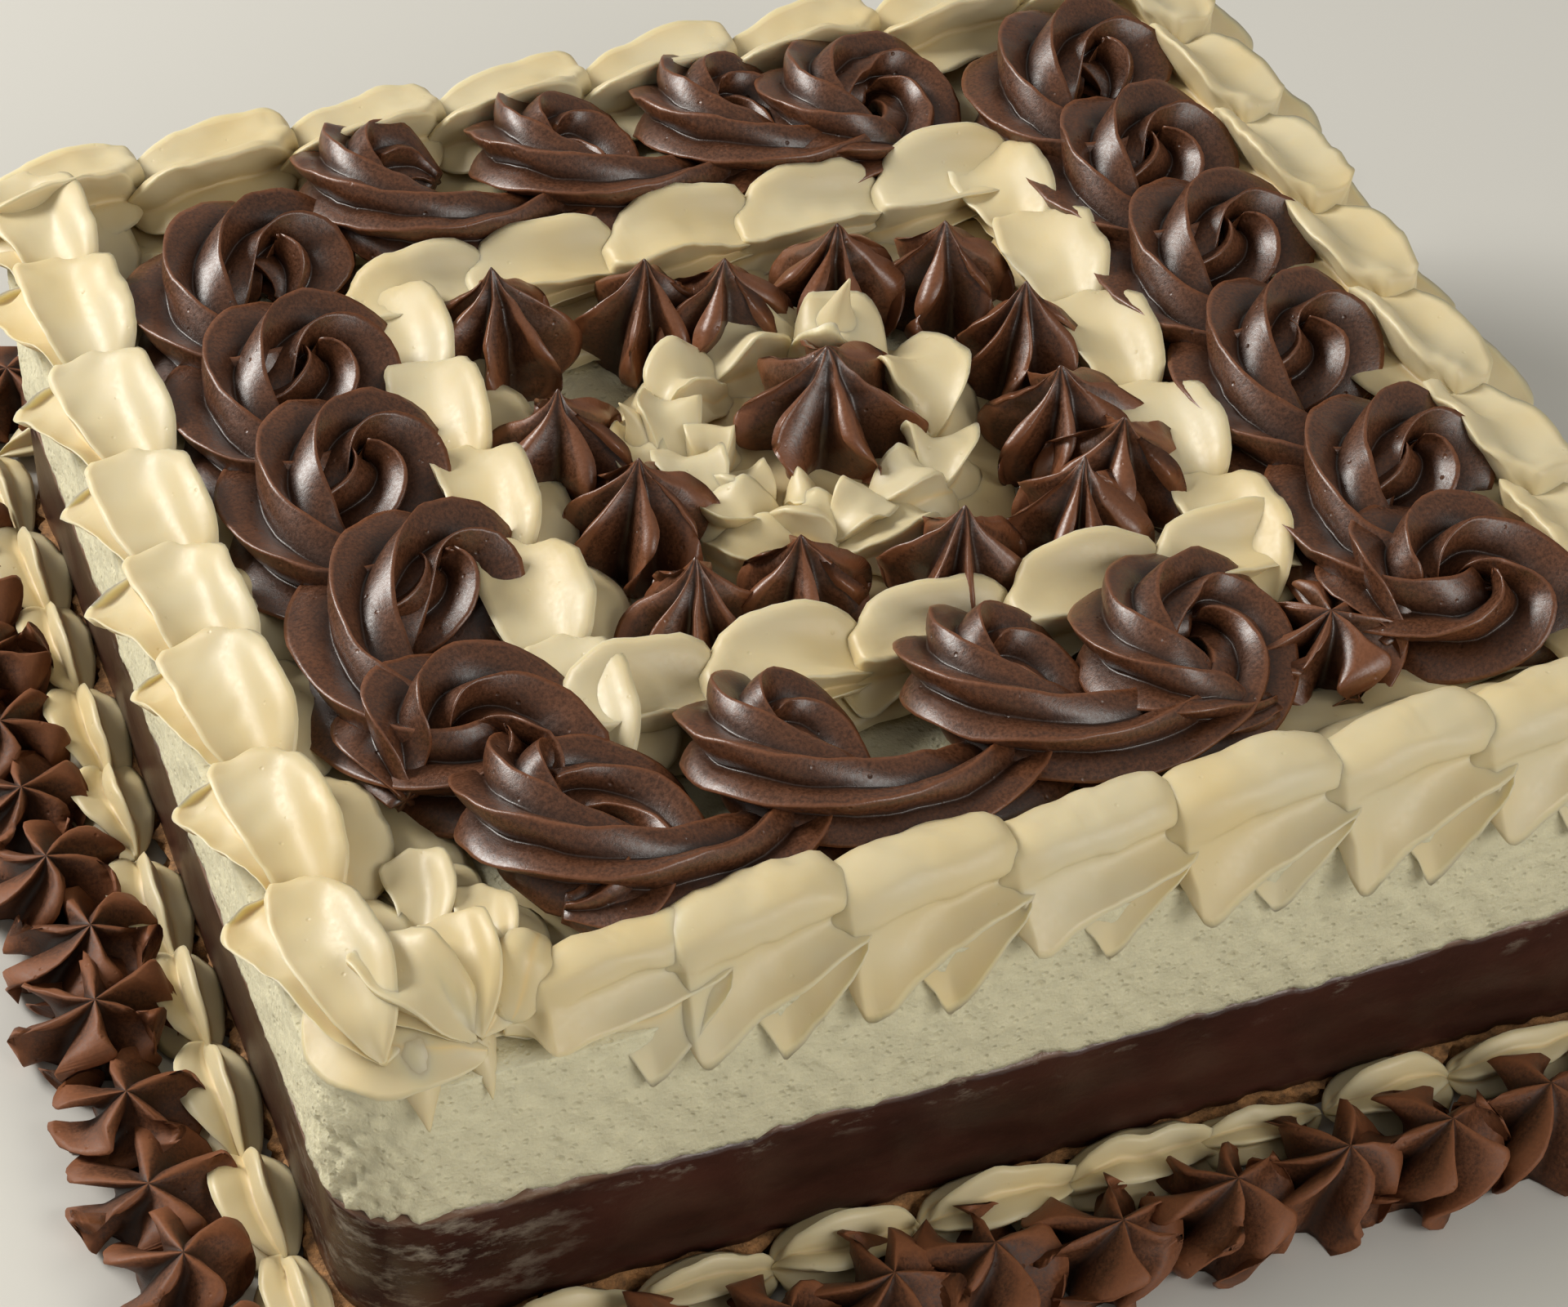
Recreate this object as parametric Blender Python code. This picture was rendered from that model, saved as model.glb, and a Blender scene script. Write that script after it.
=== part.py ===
"""A square cream cake: a crumb base, ganache, mousse, and cream and chocolate piped on its top and foot.

Everything is in metres, +Z up. The origin is on the surface that the cake stands on, under its centre.
The front is at -Y and the right at +X. Piped rows follow squares round the centre. A place on one is given
by out, its distance from the centre straight out of a side, and along, which runs to the right for
someone who faces that side.
"""

import math
import random

import bmesh
import bpy
import numpy as np

# The cake's body
HALF = 0.110                 # half of the cake's 220 mm side
CORNER_RADIUS = 0.015        # the upright corners
BASE_TOP = 0.0040            # the crumb base
GANACHE_TOP = 0.0279         # the dark chocolate layer
MOUSSE_TOP = 0.0550          # the pale mousse
MOUSSE_EDGE = 0.0008         # the small bevel round its top
CRUMB_ROUGHNESS = 0.0009     # how far the base's edge strays
CORNER_BULGE = 1.06          # how much a piped row widens at the corners, to clear the cake
GAP = 0.0003                 # between any two pieces that touch
FLOOR = MOUSSE_TOP + GAP     # what is piped on top starts here
ABOVE = 0.1000               # higher than anything on the cake

# The cream shells along the top edges
SHELLS_A_SIDE = 8
SHELL_INNER = 0.0958         # the row reaches in to here, and hangs over the edge
SHELL_AXIS = (0.1058, 0.0608)
SHELL_RADIUS = 0.0134
FLAP_ROOT = 0.0045           # how far down the cake's side the hanging fins are thick
SHELL_PROFILE = ((0.0, 0.60), (0.11, 0.95), (0.42, 1.03), (0.76, 0.84))
# Each fin's and valley's angle in degrees and share of the radius, from the outside over to the inside
HANGING_FIN = (-33, 1.0)
SHELL_FINS = ((-2, 0.66), (28, 0.98), (60, 0.64), (90, 0.98), (122, 0.62), (150, 0.92))

# The row of chocolate loops. Where each loop stands, from left to right or from front to back
LOOP_HALF = 0.0770
LOOP_RADIUS = 0.0184
LOOP_BAND = (0.0585, 0.0955)
LOOP_HEIGHT = 0.0170
LOOP_ARMS = 6
FRONT_LOOPS = (-0.068, -0.031, 0.006, 0.039)
RIGHT_LOOPS = (-0.076, -0.042, -0.008, 0.022, 0.050, 0.076)
BACK_LOOPS = (-0.046, -0.015, 0.016, 0.043)
LEFT_LOOPS = (-0.057, -0.017, 0.012, 0.041, 0.072)

STRAND_OFFSET = 0.0085       # the strands from loop to loop run this far beside the middle line
STRAND_HALF = 0.0085
STRAND_HEIGHT = 0.0135

# The low cream shells inside the loops
INNER_SHELLS_A_SIDE = 5
INNER_BAND = (0.0483, 0.0582)
INNER_HEIGHT = 0.0110
INNER_FINS = ((0.96, 0.50), (0.34, 1.0), (-0.12, 0.76), (-0.60, 0.90), (-0.98, 0.45))

# The ring of chocolate stars
STARS_A_SIDE = (3, 4, 4, 3)  # front, right, back and left, each with the corner that it starts from
STAR_HALF = 0.0360
STAR_RADIUS = 0.0120
STAR_HEIGHT = 0.0200
STAR_FINS = 7
STAR_LEVELS = ((0.0, 0.90), (0.22, 1.0), (0.62, 0.68))
STAR_VALLEY = 0.62

# The ruffled cream in the middle, and the star on it
CENTRE_RADIUS = 0.0232
CENTRE_RUFFLES = 9
CENTRE_CREST = 0.0105        # the ruffles' height, and the radius of their tops
CENTRE_CREST_RADIUS = 0.0195
CENTRE_PAD_RADIUS = 0.0156
CENTRE_PAD_TOP = 0.0600
CENTRE_STAR_RADIUS = 0.0148
CENTRE_STAR_HEIGHT = 0.0190

# What is piped round the foot
FOOT_SHELLS_A_SIDE = 10
FOOT_CREAM_BAND = (0.1106, 0.1186)
FOOT_CREAM_HEIGHT = 0.0100
FOOT_FINS = ((0.92, 0.62), (0.30, 1.0), (-0.10, 0.78), (-0.80, 0.90))
FOOT_STARS_A_SIDE = 14
FOOT_STAR_HALF = 0.1315
FOOT_STAR_RADIUS = 0.0121
FOOT_STAR_HEIGHT = 0.0135
FOOT_STAR_FINS = 5
FOOT_REACH = 0.1425          # the whole cake fits a square of this half side

CREAM = (0.86, 0.77, 0.56)
CHOCOLATE = (0.105, 0.048, 0.031)
SIDES = ("front", "right", "back", "left")


def clear_scene():
    for old in list(bpy.data.objects):
        bpy.data.objects.remove(old)


def material(name, colour, roughness):
    made = bpy.data.materials.new(name)
    made.use_nodes = True
    shader = made.node_tree.nodes["Principled BSDF"]
    shader.inputs["Base Color"].default_value = (*colour, 1.0)
    shader.inputs["Roughness"].default_value = roughness
    shader.inputs["Metallic"].default_value = 0.0
    return made


def add_object(name, points, faces, finish=None):
    mesh = bpy.data.meshes.new(name)
    mesh.from_pydata([tuple(point) for point in points], [], faces)
    mesh.update()
    made = bpy.data.objects.new(name, mesh)
    bpy.context.scene.collection.objects.link(made)
    if finish:
        mesh.materials.append(finish)
        shade(made)
    return made


def shade(made):
    made.data.shade_smooth()
    made.data.set_sharp_from_angle(angle=math.radians(40))


def turned(side, along, out, height=0.0):
    """The point of a side that is this far along it and this far out."""
    x, y = {
        "front": (along, -out),
        "right": (out, along),
        "back": (-along, out),
        "left": (-out, -along),
    }[side]
    return np.array((x, y, height))


def side_direction(side):
    """The way that a side faces, in plan."""
    return turned(side, 0.0, 1.0)[:2]


def on_square(side, share, out, bulge=1.0):
    """A place on a side's stretch of the square with round corners, whose share runs from -1 to 1.

    The squares of every size share their corners' centres, so that rows keep their width there. bulge
    widens the corners for a row of straight stretches, which would cut across the arc otherwise.
    """
    radius = max(CORNER_RADIUS + out - HALF, 0.002)
    straight = out - radius
    length = straight + radius * math.pi / 4 - GAP
    travel = abs(share) * length
    if travel <= straight:
        along, away = travel, out
    else:
        angle = (travel - straight) / radius
        radius *= bulge
        along, away = straight + radius * math.sin(angle), straight + radius * math.cos(angle)
    return turned(side, math.copysign(along, share), away)[:2]


def round_square(half, radius, corner_steps, side_steps):
    """The outline of a square with round corners, anticlockwise from above."""
    points = []
    reach = half - radius
    for quarter in range(4):
        turn = quarter * math.pi / 2
        middle = turn - math.pi / 4
        centre = (math.copysign(reach, math.cos(middle)), math.copysign(reach, math.sin(middle)))
        for step in range(corner_steps + 1):
            angle = turn - math.pi / 2 + step * math.pi / 2 / corner_steps
            points.append((centre[0] + radius * math.cos(angle), centre[1] + radius * math.sin(angle)))
        start = np.array(points[-1])
        run = 2 * reach * np.array((-math.sin(turn), math.cos(turn)))
        for step in range(1, side_steps):
            points.append(tuple(start + run * step / side_steps))
    return points


def stacked_rings(rings, top_point=None):
    """A closed skin over rings of equal length, with a flat foot, and a point or a flat face on top."""
    count = len(rings[0])
    points = [point for ring in rings for point in ring]
    faces = [tuple(reversed(range(count)))]
    for level in range(len(rings) - 1):
        low, high = level * count, (level + 1) * count
        for i in range(count):
            j = (i + 1) % count
            faces.append((low + i, low + j, high + j, high + i))
    last = (len(rings) - 1) * count
    if top_point is None:
        faces.append(tuple(range(last, last + count)))
    else:
        points.append(top_point)
        faces += [(last + i, last + (i + 1) % count, len(points) - 1) for i in range(count)]
    return points, faces


def layer(name, levels, finish, side_steps=1, stray=0.0, seed=0):
    """A slab with round corners. levels are its (height, inset) pairs from the bottom up."""
    chance = random.Random(seed)
    rings = []
    for height, inset in levels:
        ring = []
        for x, y in round_square(HALF - inset, CORNER_RADIUS - inset, 5, side_steps):
            pull = 1.0 - chance.uniform(0.0, stray) / HALF
            ring.append((x * pull, y * pull, height))
        rings.append(ring)
    return add_object(name, *stacked_rings(rings), finish)


def swept_row(name, side, shares, sections, finish):
    """A row along one side, through a cross-section at each of the shares of the way.

    Each is a closed outline of (out, height) points, anticlockwise when out runs to the right.
    """
    count = len(sections[0])
    points = []
    for share, section in zip(shares, sections):
        for out, height in section:
            points.append((*on_square(side, share, out, CORNER_BULGE), height))
    faces = [tuple(range(count))]
    for station in range(len(sections) - 1):
        near, far = station * count, (station + 1) * count
        for i in range(count):
            j = (i + 1) % count
            faces.append((near + j, near + i, far + i, far + j))
    last = (len(sections) - 1) * count
    faces.append(tuple(reversed(range(last, last + count))))
    return add_object(name, points, faces, finish)


def shell_stations(shells, profile, backwards, chance, spread):
    """The cross-sections of a row of shells: where each one is, its width and its shell's number.

    profile is one shell's (place, width) pairs, from where its round head covers the last one's tail.
    """
    stations = []
    for number in range(shells):
        size = chance.uniform(1 - spread, 1 + spread)
        for place, width in profile:
            stations.append((2 * (number + place) / shells - 1, width * size, number))
    stations.append((1.0, profile[0][1], shells - 1))
    if backwards:
        stations = [(-share, width, number) for share, width, number in reversed(stations)]
    return stations


def shell_border(side, finish, seed):
    """The cream shells along one top edge: six fins of a star tip, of which the lower ones hang down."""
    chance = random.Random(seed)
    backwards = side in ("front", "left")
    axis_out, axis_height = SHELL_AXIS
    turns = [chance.uniform(-6, 6) for _ in range(SHELLS_A_SIDE)]
    drops = [chance.uniform(0.0005, 0.0055) for _ in range(SHELLS_A_SIDE)]
    shares, sections = [], []
    for share, width, number in shell_stations(SHELLS_A_SIDE, SHELL_PROFILE, backwards, chance, 0.05):
        shares.append(share)
        section = [
            (SHELL_INNER, FLOOR),
            (HALF + GAP, FLOOR),
            (HALF + GAP, FLOOR - FLAP_ROOT * width),
        ]
        for angle, reach in (HANGING_FIN, *SHELL_FINS):
            hanging = (angle, reach) == HANGING_FIN
            spread = math.radians(angle + (0 if hanging else turns[number]))
            length = SHELL_RADIUS * reach * width
            out = axis_out + length * math.cos(spread)
            height = axis_height + length * math.sin(spread)
            if hanging:
                height -= drops[number] * width**4
            section.append((max(out, SHELL_INNER), height))
        sections.append(section)
    return swept_row("shell_border_" + side, side, shares, sections, finish)


def low_shells(name, side, band, floor, height, shells, profile, fins, finish, seed):
    """A low row of cream shells inside a narrow band. fins are (across, rise) pairs above its flat foot."""
    chance = random.Random(seed)
    near, far = band
    middle, half = (near + far) / 2, (far - near) / 2
    leans = [chance.uniform(-0.2, 0.2) for _ in range(shells)]
    shares, sections = [], []
    for share, width, number in shell_stations(shells, profile, False, chance, 0.08):
        shares.append(share)
        section = [(near, floor), (far, floor)]
        for across, rise in fins:
            out = middle + half * across * (0.6 + 0.4 * width) + half * leans[number] * rise * (1 - across**2)
            section.append((min(max(out, near), far), floor + height * rise * width))
        sections.append(section)
    return swept_row(name, side, shares, sections, finish)


def star(centre, radius, height, fins, levels, valley, turn=0.0, twist=0.0, across=None, stretch=1.0):
    """A star of cream pressed out of an upright tip: finned rings that narrow and turn to a point.

    levels are (share of the height, share of the radius) pairs. The star is stretched along across,
    a direction in plan, where the stars beside it squeeze it the other way.
    """
    rings = []
    for rise, width in levels:
        ring = []
        for i in range(2 * fins):
            angle = turn + math.pi * i / fins + twist * rise
            reach = radius * width * (1.0 if i % 2 == 0 else valley)
            offset = np.array((math.cos(angle), math.sin(angle))) * reach
            if across is not None:
                offset += across * np.dot(offset, across) * (stretch - 1.0)
            ring.append((centre[0] + offset[0], centre[1] + offset[1], centre[2] + height * rise))
        rings.append(ring)
    return stacked_rings(rings, top_point=(centre[0], centre[1], centre[2] + height))


def loop(side, place, length, width, height, turn):
    """One chocolate loop: a round swirl whose ridges wind up and in to a pit."""
    # Height and width at a ridge, the same in the valley beside it, and how far the ring is turned
    levels = (
        (0.00, 0.90, 0.00, 0.78, 0.00),
        (0.36, 1.00, 0.33, 0.84, 0.25),
        (0.84, 0.73, 0.68, 0.64, 0.80),
        (1.00, 0.38, 0.80, 0.36, 1.55),
    )
    rings = []
    for ridge_rise, ridge_width, valley_rise, valley_width, twist in levels:
        ring = []
        for i in range(2 * LOOP_ARMS):
            rise, reach = (ridge_rise, ridge_width) if i % 2 == 0 else (valley_rise, valley_width)
            angle = turn + math.pi * i / LOOP_ARMS + twist
            ring.append(tuple(turned(
                side,
                place + length * reach * math.cos(angle),
                LOOP_HALF - width * reach * math.sin(angle),
                FLOOR + height * rise,
            )))
        rings.append(ring)
    rings = [ring[::-1] for ring in rings]
    return stacked_rings(rings, top_point=tuple(turned(side, place, LOOP_HALF, FLOOR + height * 0.45)))


def strand(side, start, end, middle):
    """The straight stretch of ridged rope that leads from one loop to the next."""
    outline = ((1.0, 0.0), (0.95, 0.42), (0.66, 0.50), (0.45, 1.0), (0.0, 0.80), (-0.45, 1.0), (-1.0, 0.0))
    rings = []
    for share, width in ((0.0, 0.80), (0.5, 1.0), (1.0, 0.80)):
        place = start + (end - start) * share
        rings.append([
            tuple(turned(side, place, middle - STRAND_HALF * across, FLOOR + STRAND_HEIGHT * width * rise))
            for across, rise in outline
        ])
    return stacked_rings(rings[::-1])


def prism(outline, low, high):
    """An upright block with the given outline, anticlockwise from above."""
    return stacked_rings([[(x, y, z) for x, y in outline] for z in (low, high)])


def applied(target, operation, operand):
    """Runs one Boolean on target, keeps its result and removes what it used."""
    step = target.modifiers.new("join", "BOOLEAN")
    step.operation = operation
    step.solver = "EXACT"
    if isinstance(operand, bpy.types.Collection):
        step.operand_type = "COLLECTION"
        step.collection = operand
        used = list(operand.objects)
    else:
        step.object = operand
        used = [operand]
    graph = bpy.context.evaluated_depsgraph_get()
    result = bpy.data.meshes.new_from_object(target.evaluated_get(graph))
    target.modifiers.clear()
    target.data = result
    for piece in used:
        bpy.data.objects.remove(piece)
    if isinstance(operand, bpy.types.Collection):
        bpy.data.collections.remove(operand)
    shade(target)
    return target


def fused(name, shapes, finish):
    """One solid from several closed shapes that overlap."""
    first = add_object(name, *shapes[0], finish)
    others = bpy.data.collections.new(name + "_parts")
    bpy.context.scene.collection.children.link(others)
    for number, (points, faces) in enumerate(shapes[1:]):
        piece = add_object(f"{name}_{number}", points, faces, finish)
        bpy.context.scene.collection.objects.unlink(piece)
        others.objects.link(piece)
    return applied(first, "UNION", others)


def without_scraps(made):
    """Keeps the largest body of a solid, and drops what a cut left loose."""
    work = bmesh.new()
    work.from_mesh(made.data)
    unseen = set(work.verts)
    bodies = []
    while unseen:
        body = [unseen.pop()]
        for vert in body:
            for link in vert.link_edges:
                other = link.other_vert(vert)
                if other in unseen:
                    unseen.remove(other)
                    body.append(other)
        bodies.append(body)
    largest = max(bodies, key=len)
    scraps = [vert for body in bodies if body is not largest for vert in body]
    bmesh.ops.delete(work, geom=scraps, context="VERTS")
    work.to_mesh(made.data)
    work.free()
    return made


def kept_inside(made, side, band, start=None, end=None):
    """Trims a row to its band, so that it stays clear of its neighbours.

    Its ends are cut square at start and end, and slantwise, at the corner, where these are None.
    """
    near, far = band
    clear = GAP / 2
    outline = [
        turned(side, -near + clear if start is None else start, near)[:2],
        turned(side, near - clear if end is None else end, near)[:2],
        turned(side, far - clear if end is None else end, far)[:2],
        turned(side, -far + clear if start is None else start, far)[:2],
    ]
    zone = add_object("zone", *prism(outline[::-1], -GAP, ABOVE))
    return without_scraps(applied(made, "INTERSECT", zone))


def loop_row(side, places, ends, finish, seed):
    """One row of chocolate loops, each stretched as far as the room to its neighbours asks."""
    chance = random.Random(seed)
    shapes = []
    for number, place in enumerate(places):
        spaces = [abs(place - other) for other in places[max(number - 1, 0):number + 2] if other != place]
        length = max(0.58 * sum(spaces) / len(spaces), LOOP_RADIUS * 0.92)
        shapes.append(loop(
            side, place, length, LOOP_RADIUS * chance.uniform(0.95, 1.0),
            LOOP_HEIGHT * chance.uniform(0.94, 1.06), chance.uniform(0.0, math.tau),
        ))
    beside = STRAND_OFFSET if side in ("front", "left") else -STRAND_OFFSET
    for place, after in zip(places, places[1:]):
        shapes.append(strand(side, place, after, LOOP_HALF + beside))
    made = fused("chocolate_loops_" + side, shapes, finish)
    return kept_inside(made, side, LOOP_BAND, *ends)


def loop_rows(finish):
    """The four rows of loops. The right row holds both of its corners, the left row the back one."""
    inside = LOOP_BAND[0] - GAP
    beyond = LOOP_BAND[1] + LOOP_RADIUS
    loop_row("front", FRONT_LOOPS, (None, inside), finish, 11)
    loop_row("right", RIGHT_LOOPS, (-beyond, beyond), finish, 12)
    loop_row("back", [-x for x in reversed(BACK_LOOPS)], (-inside, inside), finish, 13)
    loop_row("left", [-y for y in reversed(LEFT_LOOPS)], (-beyond, None), finish, 14)


def star_ring(finish):
    """The stars, evenly along a square. Those between two others are squeezed by them."""
    chance = random.Random(21)
    number = 0
    for side, count in zip(SIDES, STARS_A_SIDE):
        out = side_direction(side)
        for step in range(count):
            number += 1
            place = turned(side, STAR_HALF * (2 * step / count - 1), STAR_HALF, FLOOR)
            room = STAR_HALF / max(STARS_A_SIDE if step == 0 else (count,)) - GAP / 2
            points, faces = star(
                place, room, STAR_HEIGHT * chance.uniform(0.92, 1.06), STAR_FINS,
                STAR_LEVELS, STAR_VALLEY, chance.uniform(0.0, math.tau),
                chance.uniform(0.3, 0.6), out, 1.0 if step == 0 else STAR_RADIUS / room,
            )
            add_object(f"star_{number:02d}", points, faces, finish)


def cream_centre(finish):
    """A round bed of cream whose rim is ruffled, with a flat pad in its middle."""
    chance = random.Random(31)
    bulges = (0.0, 1.0, 0.75)  # the three upright edges of each ruffle, the first one in a fold
    pad_rise = (CENTRE_PAD_TOP - FLOOR) / CENTRE_CREST
    # Radius, height, how far the folds draw in, and how much higher the ruffles are than the folds
    levels = (
        (CENTRE_RADIUS, 0.0, 0.90, 0.0),
        (CENTRE_RADIUS, 0.45, 0.86, 0.2),
        (CENTRE_CREST_RADIUS, 0.70, 0.97, 0.9),
        (CENTRE_PAD_RADIUS, pad_rise, 1.0, 0.0),
    )
    sizes = [chance.uniform(0.75, 1.0) for _ in range(CENTRE_RUFFLES)]
    steps = len(bulges)
    rings = []
    for radius, rise, narrow, lift in levels:
        ring = []
        for i in range(CENTRE_RUFFLES * steps):
            ruffle, step = divmod(i, steps)
            bulge = bulges[step]
            angle = math.tau * i / (CENTRE_RUFFLES * steps)
            reach = radius * (narrow + (1 - narrow) * bulge)
            height = CENTRE_CREST * (rise + (1 - rise) * lift * bulge * sizes[ruffle])
            ring.append((reach * math.cos(angle), reach * math.sin(angle), FLOOR + height))
        rings.append(ring)
    return add_object("cream_centre", *stacked_rings(rings), finish)


def star_centre(finish):
    points, faces = star(
        (0.0, 0.0, CENTRE_PAD_TOP + GAP), CENTRE_STAR_RADIUS, CENTRE_STAR_HEIGHT, STAR_FINS + 1,
        STAR_LEVELS, STAR_VALLEY, 0.2, 0.5,
    )
    return add_object("star_centre", points, faces, finish)


def foot_stars(side, finish, seed):
    """The stars along one side of the foot: broad low ones that run into each other."""
    chance = random.Random(seed)
    shapes = []
    for number in range(FOOT_STARS_A_SIDE):
        share = 2 * (number + 0.5) / FOOT_STARS_A_SIDE - 1
        place = on_square(side, share, FOOT_STAR_HALF)
        points, faces = star(
            (*place, 0.0), FOOT_STAR_RADIUS * chance.uniform(0.95, 1.0),
            FOOT_STAR_HEIGHT * chance.uniform(0.9, 1.1), FOOT_STAR_FINS, ((0.0, 0.97), (0.40, 0.90)), 0.78,
            chance.uniform(0.0, math.tau),
        )
        points = [(*np.clip(point[:2], -FOOT_REACH, FOOT_REACH), point[2]) for point in points]
        shapes.append((points, faces))
    made = fused("foot_stars_" + side, shapes, finish)
    return kept_inside(made, side, (FOOT_CREAM_BAND[1] + GAP, FOOT_REACH + GAP))


def main():
    clear_scene()
    crumb = material("crumb", (0.30, 0.15, 0.06), 0.9)
    ganache = material("ganache", (0.045, 0.020, 0.014), 0.35)
    mousse = material("mousse", (0.78, 0.77, 0.66), 0.7)
    cream = material("cream", CREAM, 0.45)
    chocolate = material("chocolate", CHOCOLATE, 0.42)
    layer(
        "crumb_base", ((0.0, 0.0014), (BASE_TOP * 0.6, 0.0002), (BASE_TOP, 0.0004)), crumb,
        side_steps=4, stray=CRUMB_ROUGHNESS, seed=5,
    )
    layer("ganache_layer", ((BASE_TOP + GAP, 0.0), (GANACHE_TOP, 0.0)), ganache)
    layer(
        "mousse_layer",
        ((GANACHE_TOP + GAP, 0.0), (MOUSSE_TOP - MOUSSE_EDGE, 0.0), (MOUSSE_TOP, MOUSSE_EDGE)), mousse,
    )
    for number, side in enumerate(SIDES):
        shell_border(side, cream, 40 + number)
        low_shells(
            "inner_shells_" + side, side, INNER_BAND, FLOOR, INNER_HEIGHT, INNER_SHELLS_A_SIDE,
            ((0.0, 0.55), (0.14, 1.0), (0.60, 0.98)), INNER_FINS, cream, 50 + number,
        )
        low_shells(
            "foot_cream_" + side, side, FOOT_CREAM_BAND, 0.0, FOOT_CREAM_HEIGHT, FOOT_SHELLS_A_SIDE,
            ((0.0, 0.62), (0.18, 1.0), (0.60, 0.85)), FOOT_FINS, cream, 60 + number,
        )
        foot_stars(side, chocolate, 70 + number)
    loop_rows(chocolate)
    star_ring(chocolate)
    cream_centre(cream)
    star_centre(chocolate)


main()
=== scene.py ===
"""The looks of a square cream cake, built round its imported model: the piping, the layers and a plain stage.

Lengths are in metres unless a name says mm. The cake's front is at -Y and its right at +X, as in the
frame. Each group of pieces has its operator, listed on the Cake tab of the 3D view's sidebar.
"""

import math

import bpy
import numpy as np
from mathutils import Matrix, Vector


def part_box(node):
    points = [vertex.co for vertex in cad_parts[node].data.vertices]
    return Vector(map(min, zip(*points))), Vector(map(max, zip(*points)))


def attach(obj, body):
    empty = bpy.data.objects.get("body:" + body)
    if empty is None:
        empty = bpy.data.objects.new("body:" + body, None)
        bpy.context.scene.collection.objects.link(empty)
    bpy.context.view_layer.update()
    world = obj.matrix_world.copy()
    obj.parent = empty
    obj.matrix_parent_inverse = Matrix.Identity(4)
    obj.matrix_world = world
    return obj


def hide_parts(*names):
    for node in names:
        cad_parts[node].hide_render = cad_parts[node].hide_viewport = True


bl_info = {
    "name": "Piped cream cake",
    "version": (1, 0, 0),
    "blender": (4, 5, 0),
    "location": "View3D > Sidebar > Cake",
    "description": "Pipes and finishes a square layered cake on its packed model",
    "category": "Object",
}

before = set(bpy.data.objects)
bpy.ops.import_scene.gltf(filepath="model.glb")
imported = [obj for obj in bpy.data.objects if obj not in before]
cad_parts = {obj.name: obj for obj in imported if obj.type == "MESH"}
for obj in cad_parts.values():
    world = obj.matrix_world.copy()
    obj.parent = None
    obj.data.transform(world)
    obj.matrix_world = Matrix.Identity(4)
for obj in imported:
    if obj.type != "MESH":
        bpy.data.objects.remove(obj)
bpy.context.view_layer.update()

MM = 0.001
SIDES = ("front", "right", "back", "left")

# Heights and faces of the layers, from the frame
BASE_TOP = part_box("crumb_base")[1].z
GANACHE_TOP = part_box("ganache_layer")[1].z
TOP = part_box("mousse_layer")[1].z
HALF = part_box("mousse_layer")[1].x
CORNER = 0.015
SOFTENING = 6

# Where each row's rope of loops turns, in mm from the cake's middle
LOOPS = {
    "left": ((-76, 71), (-77, 41), (-77, 13), (-74, -16), (-74, -58)),
    "front": ((-66, -80), (-31, -78), (5, -75), (39, -74)),
    "back": ((-46, 80), (-15, 78), (16, 80), (43, 77)),
    "right": ((77, 78), (76, 49), (78, 22), (76, -8), (79, -42), (78, -76)),
}
LOOP_TRAVEL = {"left": (0, -1), "front": (1, 0), "back": (1, 0), "right": (0, -1)}

# A rope in loops, first where a row runs across the front or the back and then where it runs down a side:
# the path's radius and the rope's as shares of the settings, how far a loop leans on the one before, how
# deep its valleys are and how sharp
LOOPS_ACROSS = (1.30, 0.80, 0.0062, 0.47, 1.0)
LOOPS_DOWN = (1.02, 1.0, 0.0042, 0.56, 0.86)
ROPE_TALL = 0.80

# The small star that closes the front row of loops, and the larger one in the middle: the place and radius,
# then the height and the floor
CLOSING_STAR = ((0.0585, -0.0740), 0.0125, 0.0135, TOP - 0.0004)
MIDDLE_STAR = ((0.0042, 0.0000), 0.0170, 0.0205, 0.0588)

# The tips of the inner stars, in mm
STAR_TIPS = (
    (-32, -39), (-14, -38), (10, -42), (32, -38), (43, -28), (40, -14), (41, 7),
    (36, 29), (18, 34), (-3, 31), (-14, 37), (-38, 40), (-38, 7), (-32, -13),
)


def turned(side, along, out, height):
    """A point by its place along a side, from left to right as one faces it, and how far out it is."""
    places = {
        "front": (along, -out),
        "right": (out, along),
        "back": (-along, out),
        "left": (-out, -along),
    }
    x, y = places[side]
    return np.stack(np.broadcast_arrays(x, y, height), axis=-1)


def soft_noise(points, size, seed, octaves=2):
    """Smooth noise from about -1 to 1 at each point, with lumps of about this size."""
    chance = np.random.default_rng(seed)
    total = np.zeros(len(points))
    for octave in range(octaves):
        waves = chance.normal(size=(7, 3))
        waves *= 2 * math.pi / (size / 2**octave) / np.linalg.norm(waves, axis=1)[:, None]
        waves *= chance.uniform(0.6, 1.4, size=(7, 1))
        phases = chance.uniform(0, 2 * math.pi, 7)
        total += np.sin(points @ waves.T + phases).sum(axis=1) / 2.4 / 2**octave
    return total / 1.4


def smooth_step(x):
    x = np.clip(x, 0.0, 1.0)
    return x * x * (3 - 2 * x)


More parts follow.
